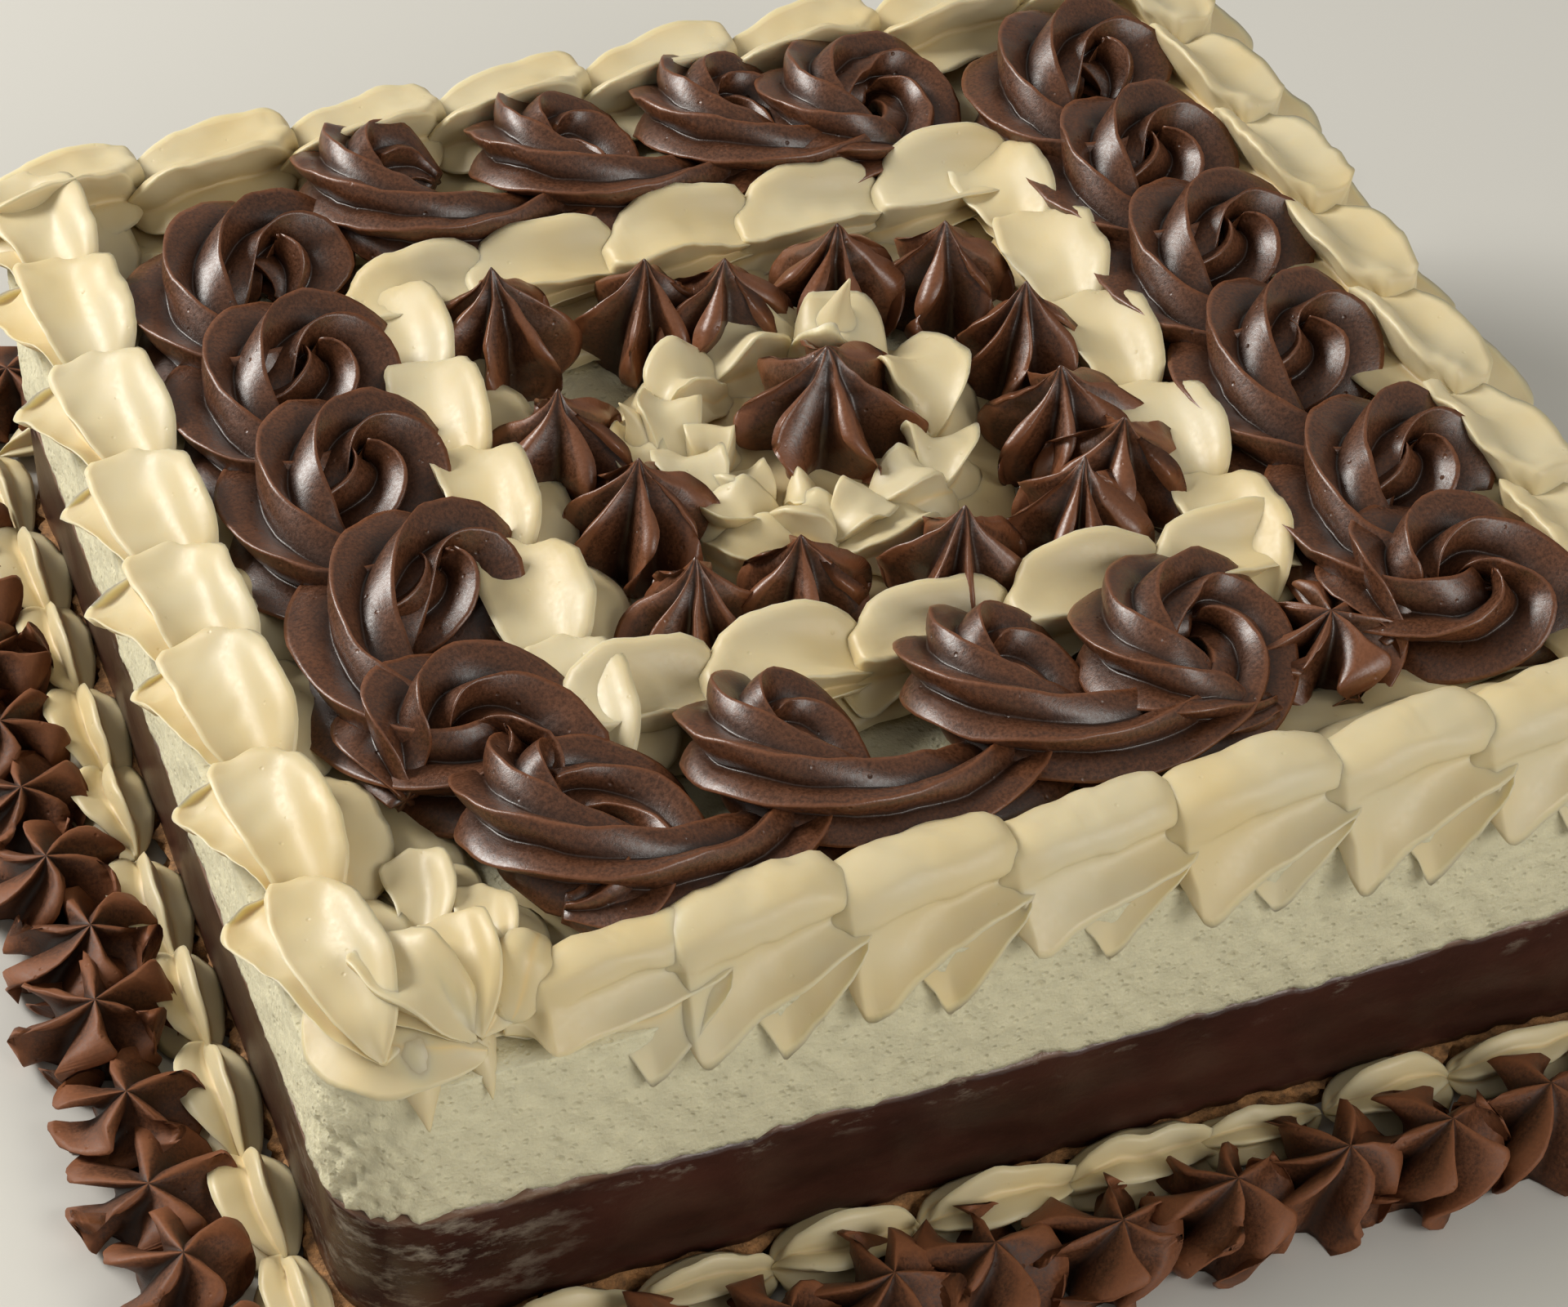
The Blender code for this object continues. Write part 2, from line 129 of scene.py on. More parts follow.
def curve_through(knots, at):
    """Values between knots, smooth and never beyond them: pairs of a place and a value, or one number."""
    if np.isscalar(knots):
        return np.full(np.shape(at), float(knots))
    places, values = np.array(knots, float).T
    rise = np.diff(values) / np.diff(places)
    slopes = np.zeros(len(places))
    same = rise[1:] * rise[:-1] > 0
    slopes[1:-1][same] = 2 * rise[1:][same] * rise[:-1][same] / (rise[1:] + rise[:-1])[same]
    slopes[0], slopes[-1] = rise[0], rise[-1]
    k = np.clip(np.searchsorted(places, at) - 1, 0, len(places) - 2)
    width = places[k + 1] - places[k]
    t = np.clip((at - places[k]) / width, 0, 1)
    start = values[k] * (1 + 2 * t) * (1 - t) ** 2 + slopes[k] * width * t * (1 - t) ** 2
    end = values[k + 1] * t**2 * (3 - 2 * t) - slopes[k + 1] * width * t**2 * (1 - t)
    return start + end


class Skin:
    """Grids of points collected into one mesh, with how near each point is to a ridge's edge."""

    def __init__(self):
        self.points, self.quads, self.tips, self.ridges, self.total = [], [], [], [], 0

    def add_grid(self, grid, ridge):
        """grid is rows by columns by 3, and its columns run round. Its first and last rows are closed."""
        rows, columns = grid.shape[:2]
        start = self.total
        self.points.append(grid.reshape(-1, 3))
        self.ridges.append(np.broadcast_to(ridge, (rows, columns)).reshape(-1))
        self.total += rows * columns
        i = np.arange(rows - 1)[:, None] * columns
        j = np.arange(columns)[None, :]
        k = (j + 1) % columns
        quads = np.stack(np.broadcast_arrays(i + j, i + k, i + columns + k, i + columns + j), axis=-1)
        self.quads.append(quads.reshape(-1, 4) + start)
        for row in (0, rows - 1):
            self.points.append(grid[row].mean(axis=0)[None, :])
            self.ridges.append(np.zeros(1))
            here = start + row * columns + np.arange(columns)
            after = np.roll(here, -1)
            centre = np.full(columns, self.total)
            self.total += 1
            ends = (here, after) if row else (after, here)
            self.tips.append(np.stack([*ends, centre], axis=-1))

    def to_object(self, name, material, replaces):
        points = np.concatenate(self.points)
        points[:, 2] = np.maximum(points[:, 2], 0.0)
        quads, tips = np.concatenate(self.quads), np.concatenate(self.tips)
        corners = np.concatenate([quads.reshape(-1), tips.reshape(-1)])
        sizes = np.concatenate([np.full(len(quads), 4), np.full(len(tips), 3)])
        mesh = bpy.data.meshes.new(name)
        mesh.vertices.add(len(points))
        mesh.vertices.foreach_set("co", points.astype(np.float32).reshape(-1))
        mesh.loops.add(len(corners))
        mesh.loops.foreach_set("vertex_index", corners.astype(np.int32))
        mesh.polygons.add(len(sizes))
        mesh.polygons.foreach_set("loop_start", (np.cumsum(sizes) - sizes).astype(np.int32))
        mesh.update(calc_edges=True)
        ridge = mesh.attributes.new("ridge", "FLOAT", "POINT")
        ridge.data.foreach_set("value", np.concatenate(self.ridges).astype(np.float32))
        mesh.shade_smooth()
        mesh.materials.append(material)
        made = bpy.data.objects.new(name, mesh)
        bpy.context.scene.collection.objects.link(made)
        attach(made, "root")
        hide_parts(*replaces)


# Piping shapes


def ridge_places(per_fin):
    """Places from one ridge to the next, 0 to 1, closer together at the ridges."""
    u = np.arange(per_fin) / per_fin
    return u - 0.10 * np.sin(2 * math.pi * u)


def fin_columns(fins, per_fin, sharp, skew):
    """The columns round a rope from a star tip: their angles, and how far out of the groove each one is."""
    u = ridge_places(per_fin)
    lobe = 1 - np.abs(np.sin(math.pi * u)) ** sharp
    angles = (u + skew * np.sin(2 * math.pi * u)) / fins * 2 * math.pi
    angles = np.concatenate([angles + 2 * math.pi * k / fins for k in range(fins)])
    return angles, np.tile(lobe, fins)


def roughened(grid, lumps, shares, amount=1.0):
    """The grid made softly uneven: lumps are (size, depth, seed), and shares is how far each axis follows."""
    flat = grid.reshape(-1, 3)
    shift = sum(soft_noise(flat, size, seed) * depth for size, depth, seed in lumps)
    return (flat + amount * shift[:, None] * np.array(shares)).reshape(grid.shape)


def piped_rope(skin, path, radius, tall, depth, fins, per_fin, sharp, phase, skew, seed):
    """A rope from an upright star tip. Its ridges keep the tip's own direction while the path turns.

    path is the centre line, radius and depth have a value for each of its points, and tall is the
    height's share of the width.
    """
    step = np.gradient(path, axis=0)
    heading = np.unwrap(np.arctan2(step[:, 1], step[:, 0]))
    speed = np.linalg.norm(step, axis=1)
    turning = np.gradient(heading) / np.maximum(speed, 1e-9)
    angles, lobe = fin_columns(fins, per_fin, sharp, skew)
    section = angles[None, :] + phase - heading[:, None] - math.pi / 2
    reach = radius[:, None] * (1 - depth[:, None] * (1 - lobe[None, :]))
    left = np.stack([-np.sin(heading), np.cos(heading), np.zeros_like(heading)], axis=1)
    slope = step[:, 2] / np.maximum(np.hypot(step[:, 0], step[:, 1]), 1e-9)
    up = np.stack([-slope * np.cos(heading), -slope * np.sin(heading), np.ones_like(slope)], axis=1)
    up /= np.linalg.norm(up, axis=1)[:, None]
    across = reach * np.cos(section)
    # On the inner side of a bend the rope can't pass the bend's own centre
    room = np.where(turning > 1e-3, 0.97 / np.maximum(turning, 1e-3), 1.0)[:, None]
    across = np.where(across > 0, room * np.tanh(across / room), across)
    high = reach * tall * np.sin(section)
    grid = path[:, None, :] + left[:, None, :] * across[..., None] + up[:, None, :] * high[..., None]
    grid = roughened(grid, ((0.011, 0.00028, seed), (0.003, 0.00005, seed + 1)), (0.5, 0.5, 1.0))
    skin.add_grid(grid, (2 * lobe - 1)[None, :])


def loop_path(centres, travel, path_radius, per_loop, first, last, lift):
    """The centre line of a rope piped in loops: each later loop leans on the one before it.

    first and last are in turns. A whole number is the slow side of a loop, where the rope doubles back.
    """
    centres = np.array(centres, float) * MM
    travel = np.array(travel, float)
    slow_side = math.atan2(travel[0], -travel[1])
    turns = np.linspace(first, last, int(per_loop * (last - first)) + 1)
    whole = np.clip(turns, 0, len(centres) - 1)
    x = np.interp(whole, np.arange(len(centres)), centres[:, 0])
    y = np.interp(whole, np.arange(len(centres)), centres[:, 1])
    angle = slow_side + 2 * math.pi * turns
    out = np.stack([np.cos(angle), np.sin(angle)], axis=1)
    height = lift * (0.5 - 0.5 * (out @ travel))
    return np.stack([x + path_radius * out[:, 0], y + path_radius * out[:, 1], height], axis=1), turns


class Edge:
    """A thin edge, or a groove between two edges, that runs along a shell.

    angle and radius are one number, or pairs of the place along the shell and the value there, in
    degrees and mm: 0 degrees points outwards and 90 up. before and after say how far the flank on that
    side bulges, as a share of its width, and are below 0 where it is hollow. soft says how far it is
    rounded, as a share of a flank.
    """

    def __init__(self, angle, radius, before=0.0, after=0.0, groove=False, soft=0.0):
        self.angle, self.radius, self.before, self.after = angle, radius, before, after
        self.groove, self.soft = groove, soft


def groove(angle, radius, soft=0.0):
    return Edge(angle, radius, groove=True, soft=soft)


def shell(skin, axis, out, up, along, edges, seed, per_flank=8, rough=1.0):
    """A piped shell: a section of edges and grooves, in order round it, swept along its axis.

    axis, out and up have a row for each place, and along says how far along the shell each one is.
    """
    corners = []
    for edge in edges:
        angle = np.radians(curve_through(edge.angle, along))
        reach = curve_through(edge.radius, along) * MM
        corners.append(np.stack([reach * np.cos(angle), reach * np.sin(angle)], axis=-1)[:, None, :])
    v = (np.arange(per_flank) / per_flank)[None, :, None]
    flanks, ridges = [], []
    columns = per_flank * len(edges)
    near_soft = np.zeros(columns)
    for k, edge in enumerate(edges):
        following = (k + 1) % len(edges)
        first, last = corners[k], corners[following]
        bulge = curve_through(edges[following].before if edge.groove else edge.after, along)[:, None, None]
        across = last - first
        control = (first + last) / 2 + 2 * bulge * np.stack([across[..., 1], -across[..., 0]], axis=-1)
        flanks.append((1 - v) ** 2 * first + 2 * v * (1 - v) * control + v**2 * last)
        toward_edge = v[0, :, 0] if edge.groove else 1 - v[0, :, 0]
        ridges.append(toward_edge**4 - (1 - toward_edge) ** 6)
        if edge.soft:
            gap = np.abs((np.arange(columns) - k * per_flank + columns / 2) % columns - columns / 2)
            near_soft = np.maximum(near_soft, np.clip(1.2 - gap / (edge.soft * per_flank), 0, 1))
    section = np.concatenate(flanks, axis=1)
    for _ in range(SOFTENING):
        mean = (np.roll(section, 1, axis=1) + np.roll(section, -1, axis=1)) / 2
        section = section + 0.6 * near_soft[None, :, None] * (mean - section)
    grid = axis[:, None, :] + section[..., :1] * out[:, None, :] + section[..., 1:] * up[:, None, :]
    grid = roughened(grid, ((0.014, 0.00042, seed), (0.005, 0.00009, seed + 3)), (0.7, 0.7, 1.0), rough)
    ridge = np.concatenate(ridges) * (1 - near_soft)
    skin.add_grid(grid[:, ::-1], np.clip(ridge, -1, 1)[None, ::-1])


def along_side(side, start, length, outs, heights):
    """A shell's route beside one side of the cake, in mm: evenly spaced points, from left to right."""
    places = start + length * np.linspace(0, 1, len(outs))
    return turned(side, places, np.array(outs, float), np.array(heights, float))


def piped_shell(skin, route, edges, seed, rows=46, crowded=(), **more):
    """A shell along its route. Outwards is to the right of its travel, and rows crowd at the given places."""
    fine = np.linspace(0, 1, 801)
    weight = 1 + 3.0 * np.exp(-((fine / 0.05) ** 2)) + 3.0 * np.exp(-(((1 - fine) / 0.05) ** 2))
    for place in crowded:
        weight += 4.0 * np.exp(-(((fine - place) / 0.03) ** 2))
    total = np.concatenate([[0], np.cumsum((weight[1:] + weight[:-1]) / 2)])
    s = np.interp(np.linspace(0, total[-1], rows), total, fine)
    route = np.array(route, float) * MM
    places = np.linspace(0, 1, len(route))
    axis = np.stack([curve_through(np.column_stack([places, route[:, i]]), s) for i in range(3)], axis=1)
    step = np.gradient(axis, s, axis=0)
    outward = np.stack([step[:, 1], -step[:, 0], np.zeros(rows)], axis=1)
    outward /= np.linalg.norm(outward, axis=1)[:, None]
    shell(skin, axis, outward, np.tile((0.0, 0.0, 1.0), (rows, 1)), s, edges, seed, **more)


# How a pulled tip narrows from its root to its point
TIP_TAPER = ((0, 0.9), (0.12, 0.95), (0.35, 0.66), (0.6, 0.36), (0.82, 0.17), (1, 0.03))


def pulled_tip(skin, root, tip, radius, bend):
    """A drawn-out point, round at its root: root, tip and bend are in mm."""
    root, tip, bend = (np.array(point, float) * MM for point in (root, tip, bend))
    t = np.linspace(0, 1, 20)[:, None]
    axis = root + (tip - root) * t + bend * np.sin(math.pi * t)
    ahead = np.gradient(axis, axis=0)
    ahead /= np.linalg.norm(ahead, axis=1)[:, None]
    side = np.cross(ahead, (0.31, 0.93, 0.2))
    side /= np.linalg.norm(side, axis=1)[:, None]
    reach = radius * MM * curve_through(TIP_TAPER, t)
    around = np.linspace(0, 2 * math.pi, 16, endpoint=False)[None, :, None]
    grid = axis[:, None, :] + reach[..., None] * (
        np.cos(around) * side[:, None, :] + np.sin(around) * np.cross(ahead, side)[:, None, :]
    )
    skin.add_grid(grid, 0.3)


# A pointed star, and a leafy one with a low crown. For each: how far its ridges and the valleys between them
# stand out, from its foot to its point, how sharp and how full the ridges are, how far they swing to one
# side, in radians, and how far they rise and fall, as a share of the height
POINTED = (
    (
        (0, 0.60), (0.05, 0.70), (0.13, 0.87), (0.24, 0.99), (0.37, 1.02), (0.49, 0.95), (0.60, 0.78),
        (0.70, 0.54), (0.80, 0.30), (0.90, 0.13), (1, 0.01),
    ),
    ((0, 0.54), (0.12, 0.46), (0.3, 0.40), (0.5, 0.34), (0.65, 0.25), (0.8, 0.15), (0.93, 0.07), (1, 0.008)),
    1.08, 1.0, 0.32, 0.05,
)
LEAFY = (
    ((0, 0.82), (0.12, 0.92), (0.35, 1.0), (0.6, 1.0), (0.76, 0.90), (0.88, 0.64), (0.95, 0.36), (1, 0.03)),
    ((0, 0.52), (0.3, 0.40), (0.6, 0.30), (0.85, 0.17), (1, 0.02)),
    0.74, 1.5, 0.50, 0.13,
)


def star(skin, tip, radius, height, floor, fins, per_fin, rows, seed, twist=0.3, kind=POINTED, lean=(0, 0)):
    """An upright star with thin ridges that run up into a pulled point, or end in a low crown."""
    crests, valleys, sharp, full, swing_far, rise_far = kind
    chance = np.random.default_rng(seed)
    t = np.linspace(0, 1, rows)[:, None] ** 0.92
    crest, valley = curve_through(crests, t), curve_through(valleys, t)
    u = ridge_places(per_fin)
    lobe = np.clip(full * (1 - np.abs(np.sin(math.pi * u)) ** sharp), 0, 1)
    lobe = np.tile(lobe, fins)[None, :]
    starts = np.arange(fins) + chance.uniform(-0.16, 0.16, fins)
    angles = starts[:, None] + u[None, :] * (np.roll(starts, -1) + np.eye(fins)[-1] * fins - starts)[:, None]
    angles = (angles.reshape(-1) * 2 * math.pi / fins + chance.uniform(0, 6.28))[None, :]
    tall = np.repeat(chance.uniform(0.88, 1.08, fins), per_fin)[None, :]
    swing = np.repeat(chance.uniform(-1, 1, fins), per_fin)[None, :]
    reach = valley + (np.maximum(crest * tall, valley) - valley) * lobe
    # Each ridge swings to one side over its shoulder and back at its foot
    curl = swing_far * swing * lobe * np.sin(2 * math.pi * np.clip((1 - t) * 1.1 - 0.1, 0, 1))
    angle = angles + twist * chance.uniform(0.5, 1.2) * t ** 1.3 + curl
    x = tip[0] + reach * np.cos(angle) * radius + lean[0] * t ** 3
    y = tip[1] + reach * np.sin(angle) * radius + lean[1] * t ** 3
    z = floor + t * height + height * rise_far * swing * lobe * np.sin(math.pi * t)
    grid = roughened(np.stack([x, y, z], axis=-1), ((0.008, 0.00024, seed + 7),), (1.0, 1.0, 0.5))
    skin.add_grid(grid, (2 * lobe**2 - (1 - lobe) ** 2).clip(-1, 1) * np.ones((rows, 1)))


# Materials


def node_material(name, colour, roughness):
    made = bpy.data.materials.new(name)
    made.use_nodes = True
    shader = made.node_tree.nodes["Principled BSDF"]
    shader.inputs["Base Color"].default_value = (*colour, 1.0)
    shader.inputs["Roughness"].default_value = roughness
    return made, made.node_tree, shader


def noise_at(tree, coordinates, size, detail=3.0, rough=0.5):
    made = tree.nodes.new("ShaderNodeTexNoise")
    made.inputs["Scale"].default_value = 1.0 / size
    made.inputs["Detail"].default_value = detail
    made.inputs["Roughness"].default_value = rough
    tree.links.new(coordinates, made.inputs["Vector"])
    return made.outputs["Fac"]


def ramp(tree, value, stops):
    made = tree.nodes.new("ShaderNodeValToRGB")
    elements = made.color_ramp.elements
    while len(elements) < len(stops):
        elements.new(0.5)
    for element, (place, colour) in zip(elements, stops):
        element.position = place
        element.color = (*colour, 1.0)
    tree.links.new(value, made.inputs["Fac"])
    return made.outputs["Color"]


def put(tree, given, socket):
    """Links a socket to another, or sets it to a colour or a number."""
    if isinstance(given, bpy.types.NodeSocket):
        tree.links.new(given, socket)
    else:
        socket.default_value = (*given, 1.0) if isinstance(given, tuple) else given


def mix(tree, share, first, second):
    """share, first and second are sockets or plain values."""
    made = tree.nodes.new("ShaderNodeMix")
    made.data_type = "RGBA"
    for number, given in ((0, share), (6, first), (7, second)):
        put(tree, given, made.inputs[number])
    return made.outputs[2]


def maths(tree, operation, first, second=0.0, clamp=False):
    made = tree.nodes.new("ShaderNodeMath")
    made.operation = operation
    made.use_clamp = clamp
    for number, given in enumerate((first, second)):
        put(tree, given, made.inputs[number])
    return made.outputs[0]


def to_range(tree, value, low, high, to_low, to_high):
    made = tree.nodes.new("ShaderNodeMapRange")
    for number, given in enumerate((value, low, high, to_low, to_high)):
        put(tree, given, made.inputs[number])
    return made.outputs[0]


def weighed(tree, *parts):
    """The sum of several values, each times its weight."""
    total = maths(tree, "MULTIPLY", *parts[0])
    for value, weight in parts[1:]:
        total = maths(tree, "ADD", total, maths(tree, "MULTIPLY", value, weight))
    return total


def add_bump(tree, shader, height, strength, distance):
    bump = tree.nodes.new("ShaderNodeBump")
    bump.inputs["Strength"].default_value = strength
    bump.inputs["Distance"].default_value = distance
    tree.links.new(height, bump.inputs["Height"])
    tree.links.new(bump.outputs["Normal"], shader.inputs["Normal"])


def place_of(tree):
    return tree.nodes.new("ShaderNodeTexCoord").outputs["Object"]


def ridge_of(tree):
    made = tree.nodes.new("ShaderNodeAttribute")
    made.attribute_name = "ridge"
    return made.outputs["Fac"]


def scaled(colour, factor):
    return tuple(min(part * factor, 1.0) for part in colour)


def corner_share(tree, place, near, far):
    """1 at the cake's near left corner, and 0 farther from it than far."""
    away = tree.nodes.new("ShaderNodeVectorMath")
    away.operation = "DISTANCE"
    away.inputs[1].default_value = (-HALF, -HALF, GANACHE_TOP)
    tree.links.new(place, away.inputs[0])
    return to_range(tree, away.outputs["Value"], near, far, 1.0, 0.0)


def pores(tree, place, spacing, deepest, edge):
    """Small round holes: 1 in a hole and 0 between them."""
    made = tree.nodes.new("ShaderNodeTexVoronoi")
    made.inputs["Scale"].default_value = 1 / spacing
    tree.links.new(place, made.inputs["Vector"])
    return to_range(tree, made.outputs["Distance"], deepest, edge, 1.0, 0.0)


def let_light_in(shader, weight, colour, depth=0.0022):
    """The light that sinks in and comes out nearby. Its colour goes deepest where it is nearest to 1."""
    shader.inputs["Subsurface Weight"].default_value = weight
    shader.inputs["Subsurface Radius"].default_value = colour
    shader.inputs["Subsurface Scale"].default_value = depth


def chocolate_material(colour, name="chocolate_cream", shine=0.65, smoothest=0.24):
    warm = scaled(colour, 2.0)
    made, tree, shader = node_material(name, colour, 0.4)
    place = place_of(tree)
    broad = noise_at(tree, place, 0.012, 3)
    fine = noise_at(tree, place, 0.0006, 3, 0.7)
    base = ramp(tree, broad, ((0.3, colour), (0.7, warm)))
    grain = ramp(tree, fine, ((0.35, scaled(colour, 0.5)), (0.65, scaled(warm, 1.5))))
    # Painted highlight: the ridges' crests are mixed toward a much lighter brown, standing in for light
    # caught on their thin edges.
    crest = to_range(tree, ridge_of(tree), 0.72, 1.0, 0.0, 0.55)
    # Painted shade: the grooves between the ridges are mixed toward a much darker brown, standing in for the
    # shade that falls in them.
    valley = to_range(tree, ridge_of(tree), -1.0, 0.2, 0.85, 0.0)
    tinted = mix(tree, crest, mix(tree, 0.55, base, grain), scaled(colour, 4.4))
    tinted = mix(tree, valley, tinted, scaled(colour, 0.3))
    tree.links.new(tinted, shader.inputs["Base Color"])
    tree.links.new(to_range(tree, fine, 0.2, 0.8, smoothest, smoothest + 0.24), shader.inputs["Roughness"])
    shader.inputs["Specular IOR Level"].default_value = shine
    pits = pores(tree, place, 0.0035, 0.0, 0.12)
    add_bump(tree, shader, weighed(tree, (fine, 0.24), (pits, -0.9)), 0.55, 0.00035)
    return made


def cream_material(colour):
    deep = (colour[0] * 1.03, colour[1] * 0.95, colour[2] * 0.78)
    made, tree, shader = node_material("butter_cream", colour, 0.42)
    place = place_of(tree)
    broad = noise_at(tree, place, 0.02, 3)
    fine = noise_at(tree, place, 0.0009, 3, 0.6)
    base = ramp(tree, broad, ((0.3, deep), (0.65, colour)))
    # Painted highlight: the thin rims are mixed toward a lighter cream, standing in for light caught on their
    # edges.
    rim = to_range(tree, ridge_of(tree), 0.6, 1.0, 0.0, 0.5)
    # Painted shade: the grooves are mixed toward a darker orange, standing in for the warm shade in the
    # creases where light scattered through the cream comes out.
    valley = to_range(tree, ridge_of(tree), -1.0, -0.2, 0.6, 0.0)
    tinted = mix(tree, rim, base, scaled(colour, 1.14))
    tinted = mix(tree, valley, tinted, (0.78, 0.56, 0.24))
    tree.links.new(tinted, shader.inputs["Base Color"])
    tree.links.new(to_range(tree, fine, 0.25, 0.75, 0.36, 0.5), shader.inputs["Roughness"])
    shader.inputs["Specular IOR Level"].default_value = 0.45
    let_light_in(shader, 0.30, (1.0, 0.74, 0.40))
    bubbles = pores(tree, place, 0.0042, 0.0, 0.09)
    add_bump(tree, shader, weighed(tree, (fine, 0.10), (bubbles, -0.8)), 0.4, 0.0003)
    return made


def mousse_material(colour):
    made, tree, shader = node_material("mousse", colour, 0.7)
    place = place_of(tree)
    fine = noise_at(tree, place, 0.0009, 4, 0.65)
    lumps = noise_at(tree, place, 0.0032, 3, 0.6)
    patches = to_range(tree, noise_at(tree, place, 0.007, 2), 0.42, 0.6, 0.0, 1.0)
    large = maths(tree, "MULTIPLY", pores(tree, place, 0.0036, 0.05, 0.26), patches)
    small = maths(tree, "MULTIPLY", pores(tree, place, 0.0017, 0.05, 0.30), 0.7)
    holes = maths(tree, "MAXIMUM", large, small)
    base = ramp(tree, lumps, ((0.3, scaled(colour, 0.92)), (0.7, scaled(colour, 1.07))))
    # Painted shade: the pores are mixed a little toward a darker yellow grey, standing in for the shade
    # inside them.
    tinted = mix(tree, maths(tree, "MULTIPLY", holes, 0.2), base, (0.47, 0.42, 0.22))
    tree.links.new(tinted, shader.inputs["Base Color"])
    let_light_in(shader, 0.25, (1.0, 0.85, 0.6))
    add_bump(tree, shader, weighed(tree, (fine, 0.45), (lumps, 0.6), (holes, -0.6)), 0.8, 0.0007)
    return made


def ganache_material(colour):
    made, tree, shader = node_material("ganache", colour, 0.32)
    place = place_of(tree)
    split = tree.nodes.new("ShaderNodeSeparateXYZ")
    tree.links.new(place, split.inputs[0])
    stretched = tree.nodes.new("ShaderNodeVectorMath")
    stretched.operation = "MULTIPLY"
    stretched.inputs[1].default_value = (1.0, 1.0, 2.4)
    tree.links.new(place, stretched.inputs[0])
    streaks = noise_at(tree, stretched.outputs[0], 0.02, 4, 0.6)
    fine = noise_at(tree, place, 0.0012, 3, 0.6)
    base = ramp(tree, streaks, ((0.3, scaled(colour, 0.8)), (0.72, scaled(colour, 1.8))))
    top_line = to_range(tree, split.outputs["Z"], GANACHE_TOP - 0.0016, GANACHE_TOP - 0.0004, 0.0, 0.5)
    base = mix(tree, top_line, base, (0.30, 0.165, 0.095))
    # Mousse dragged over the ganache, mostly by the near corner
    high = to_range(tree, split.outputs["Z"], GANACHE_TOP - 0.007, GANACHE_TOP + 0.001, 0.0, 1.0)
    by_corner = corner_share(tree, place, 0.010, 0.045)
    smear = noise_at(tree, stretched.outputs[0], 0.009, 6, 0.72)
    wide = maths(tree, "MULTIPLY", to_range(tree, smear, 0.50, 0.64, 0.0, 0.6), by_corner)
    thin = maths(tree, "MULTIPLY", to_range(tree, smear, 0.56, 0.66, 0.0, 0.6), high)
    dragged = maths(tree, "MAXIMUM", wide, thin, clamp=True)
    tinted = mix(tree, dragged, base, (0.42, 0.36, 0.27))
    tree.links.new(tinted, shader.inputs["Base Color"])
    tree.links.new(to_range(tree, dragged, 0.0, 0.6, 0.30, 0.62), shader.inputs["Roughness"])
    add_bump(tree, shader, weighed(tree, (fine, 0.2), (streaks, 0.8), (dragged, 0.6)), 0.5, 0.0006)
    return made


def crumb_material(colour):
    made, tree, shader = node_material("crumb", colour, 0.75)
    place = place_of(tree)
    spots = noise_at(tree, place, 0.0022, 4, 0.7)
    base = ramp(tree, spots, ((0.3, scaled(colour, 0.32)), (0.5, colour), (0.72, scaled(colour, 1.9))))
    tree.links.new(base, shader.inputs["Base Color"])
    add_bump(tree, shader, noise_at(tree, place, 0.0007, 4, 0.7), 0.9, 0.0006)
    return made


# Settings


def length_setting(name, description, default):
    return bpy.props.FloatProperty(
        name=name, description=description, default=default, unit="LENGTH", precision=5
    )


class CakePipingSettings(bpy.types.PropertyGroup):
    rope_radius: length_setting("Rope radius", "Half the width of the chocolate rope", 0.0112)
    loop_radius: length_setting("Loop radius", "How far the rope's middle turns from a loop's middle", 0.0104)
    star_radius: length_setting("Star radius", "Half the width of an inner star", 0.0129)
    star_height: length_setting("Star height", "How tall an inner star is", 0.0228)


def colour_setting(name, description, default):
    return bpy.props.FloatVectorProperty(
        name=name, description=description, default=default, subtype="COLOR", min=0, max=1
    )


class CakeColourSettings(bpy.types.PropertyGroup):
    chocolate: colour_setting("Chocolate", "The dark side of the chocolate cream", (0.056, 0.0200, 0.0080))
    cream: colour_setting("Cream", "The butter cream", (0.645, 0.562, 0.365))
    mousse: colour_setting("Mousse", "The white layer", (0.66, 0.615, 0.42))
    ganache: colour_setting("Ganache", "The dark layer", (0.034, 0.0115, 0.0075))
    crumb: colour_setting("Crumb", "The crumb base", (0.34, 0.165, 0.06))
    floor: colour_setting("Floor", "The floor under the cake", (0.62, 0.61, 0.57))


# The cream's rows and petals


def times(knots, factor):
    """The same knots with every value scaled. A plain number stays a number."""
    if isinstance(knots, (int, float)):
        return knots * factor
    return tuple((place, value * factor) for place, value in knots)


# The front row: where each shell starts, how far its lower fin and the flap behind it hang, and its size
FRONT_SHELLS = (
    (-83.5, 0.0, 0.95, 0.74), (-63.3, 1.05, 1.0, 1.0), (-38.2, 1.0, 1.0, 1.0), (-12.5, 0.35, 0.85, 1.0),
    (13.5, 0.8, 0.9, 1.0), (39.0, 1.0, 1.0, 1.0), (63.0, 0.7, 0.95, 1.0), (85.0, 0.9, 0.9, 0.96),
)


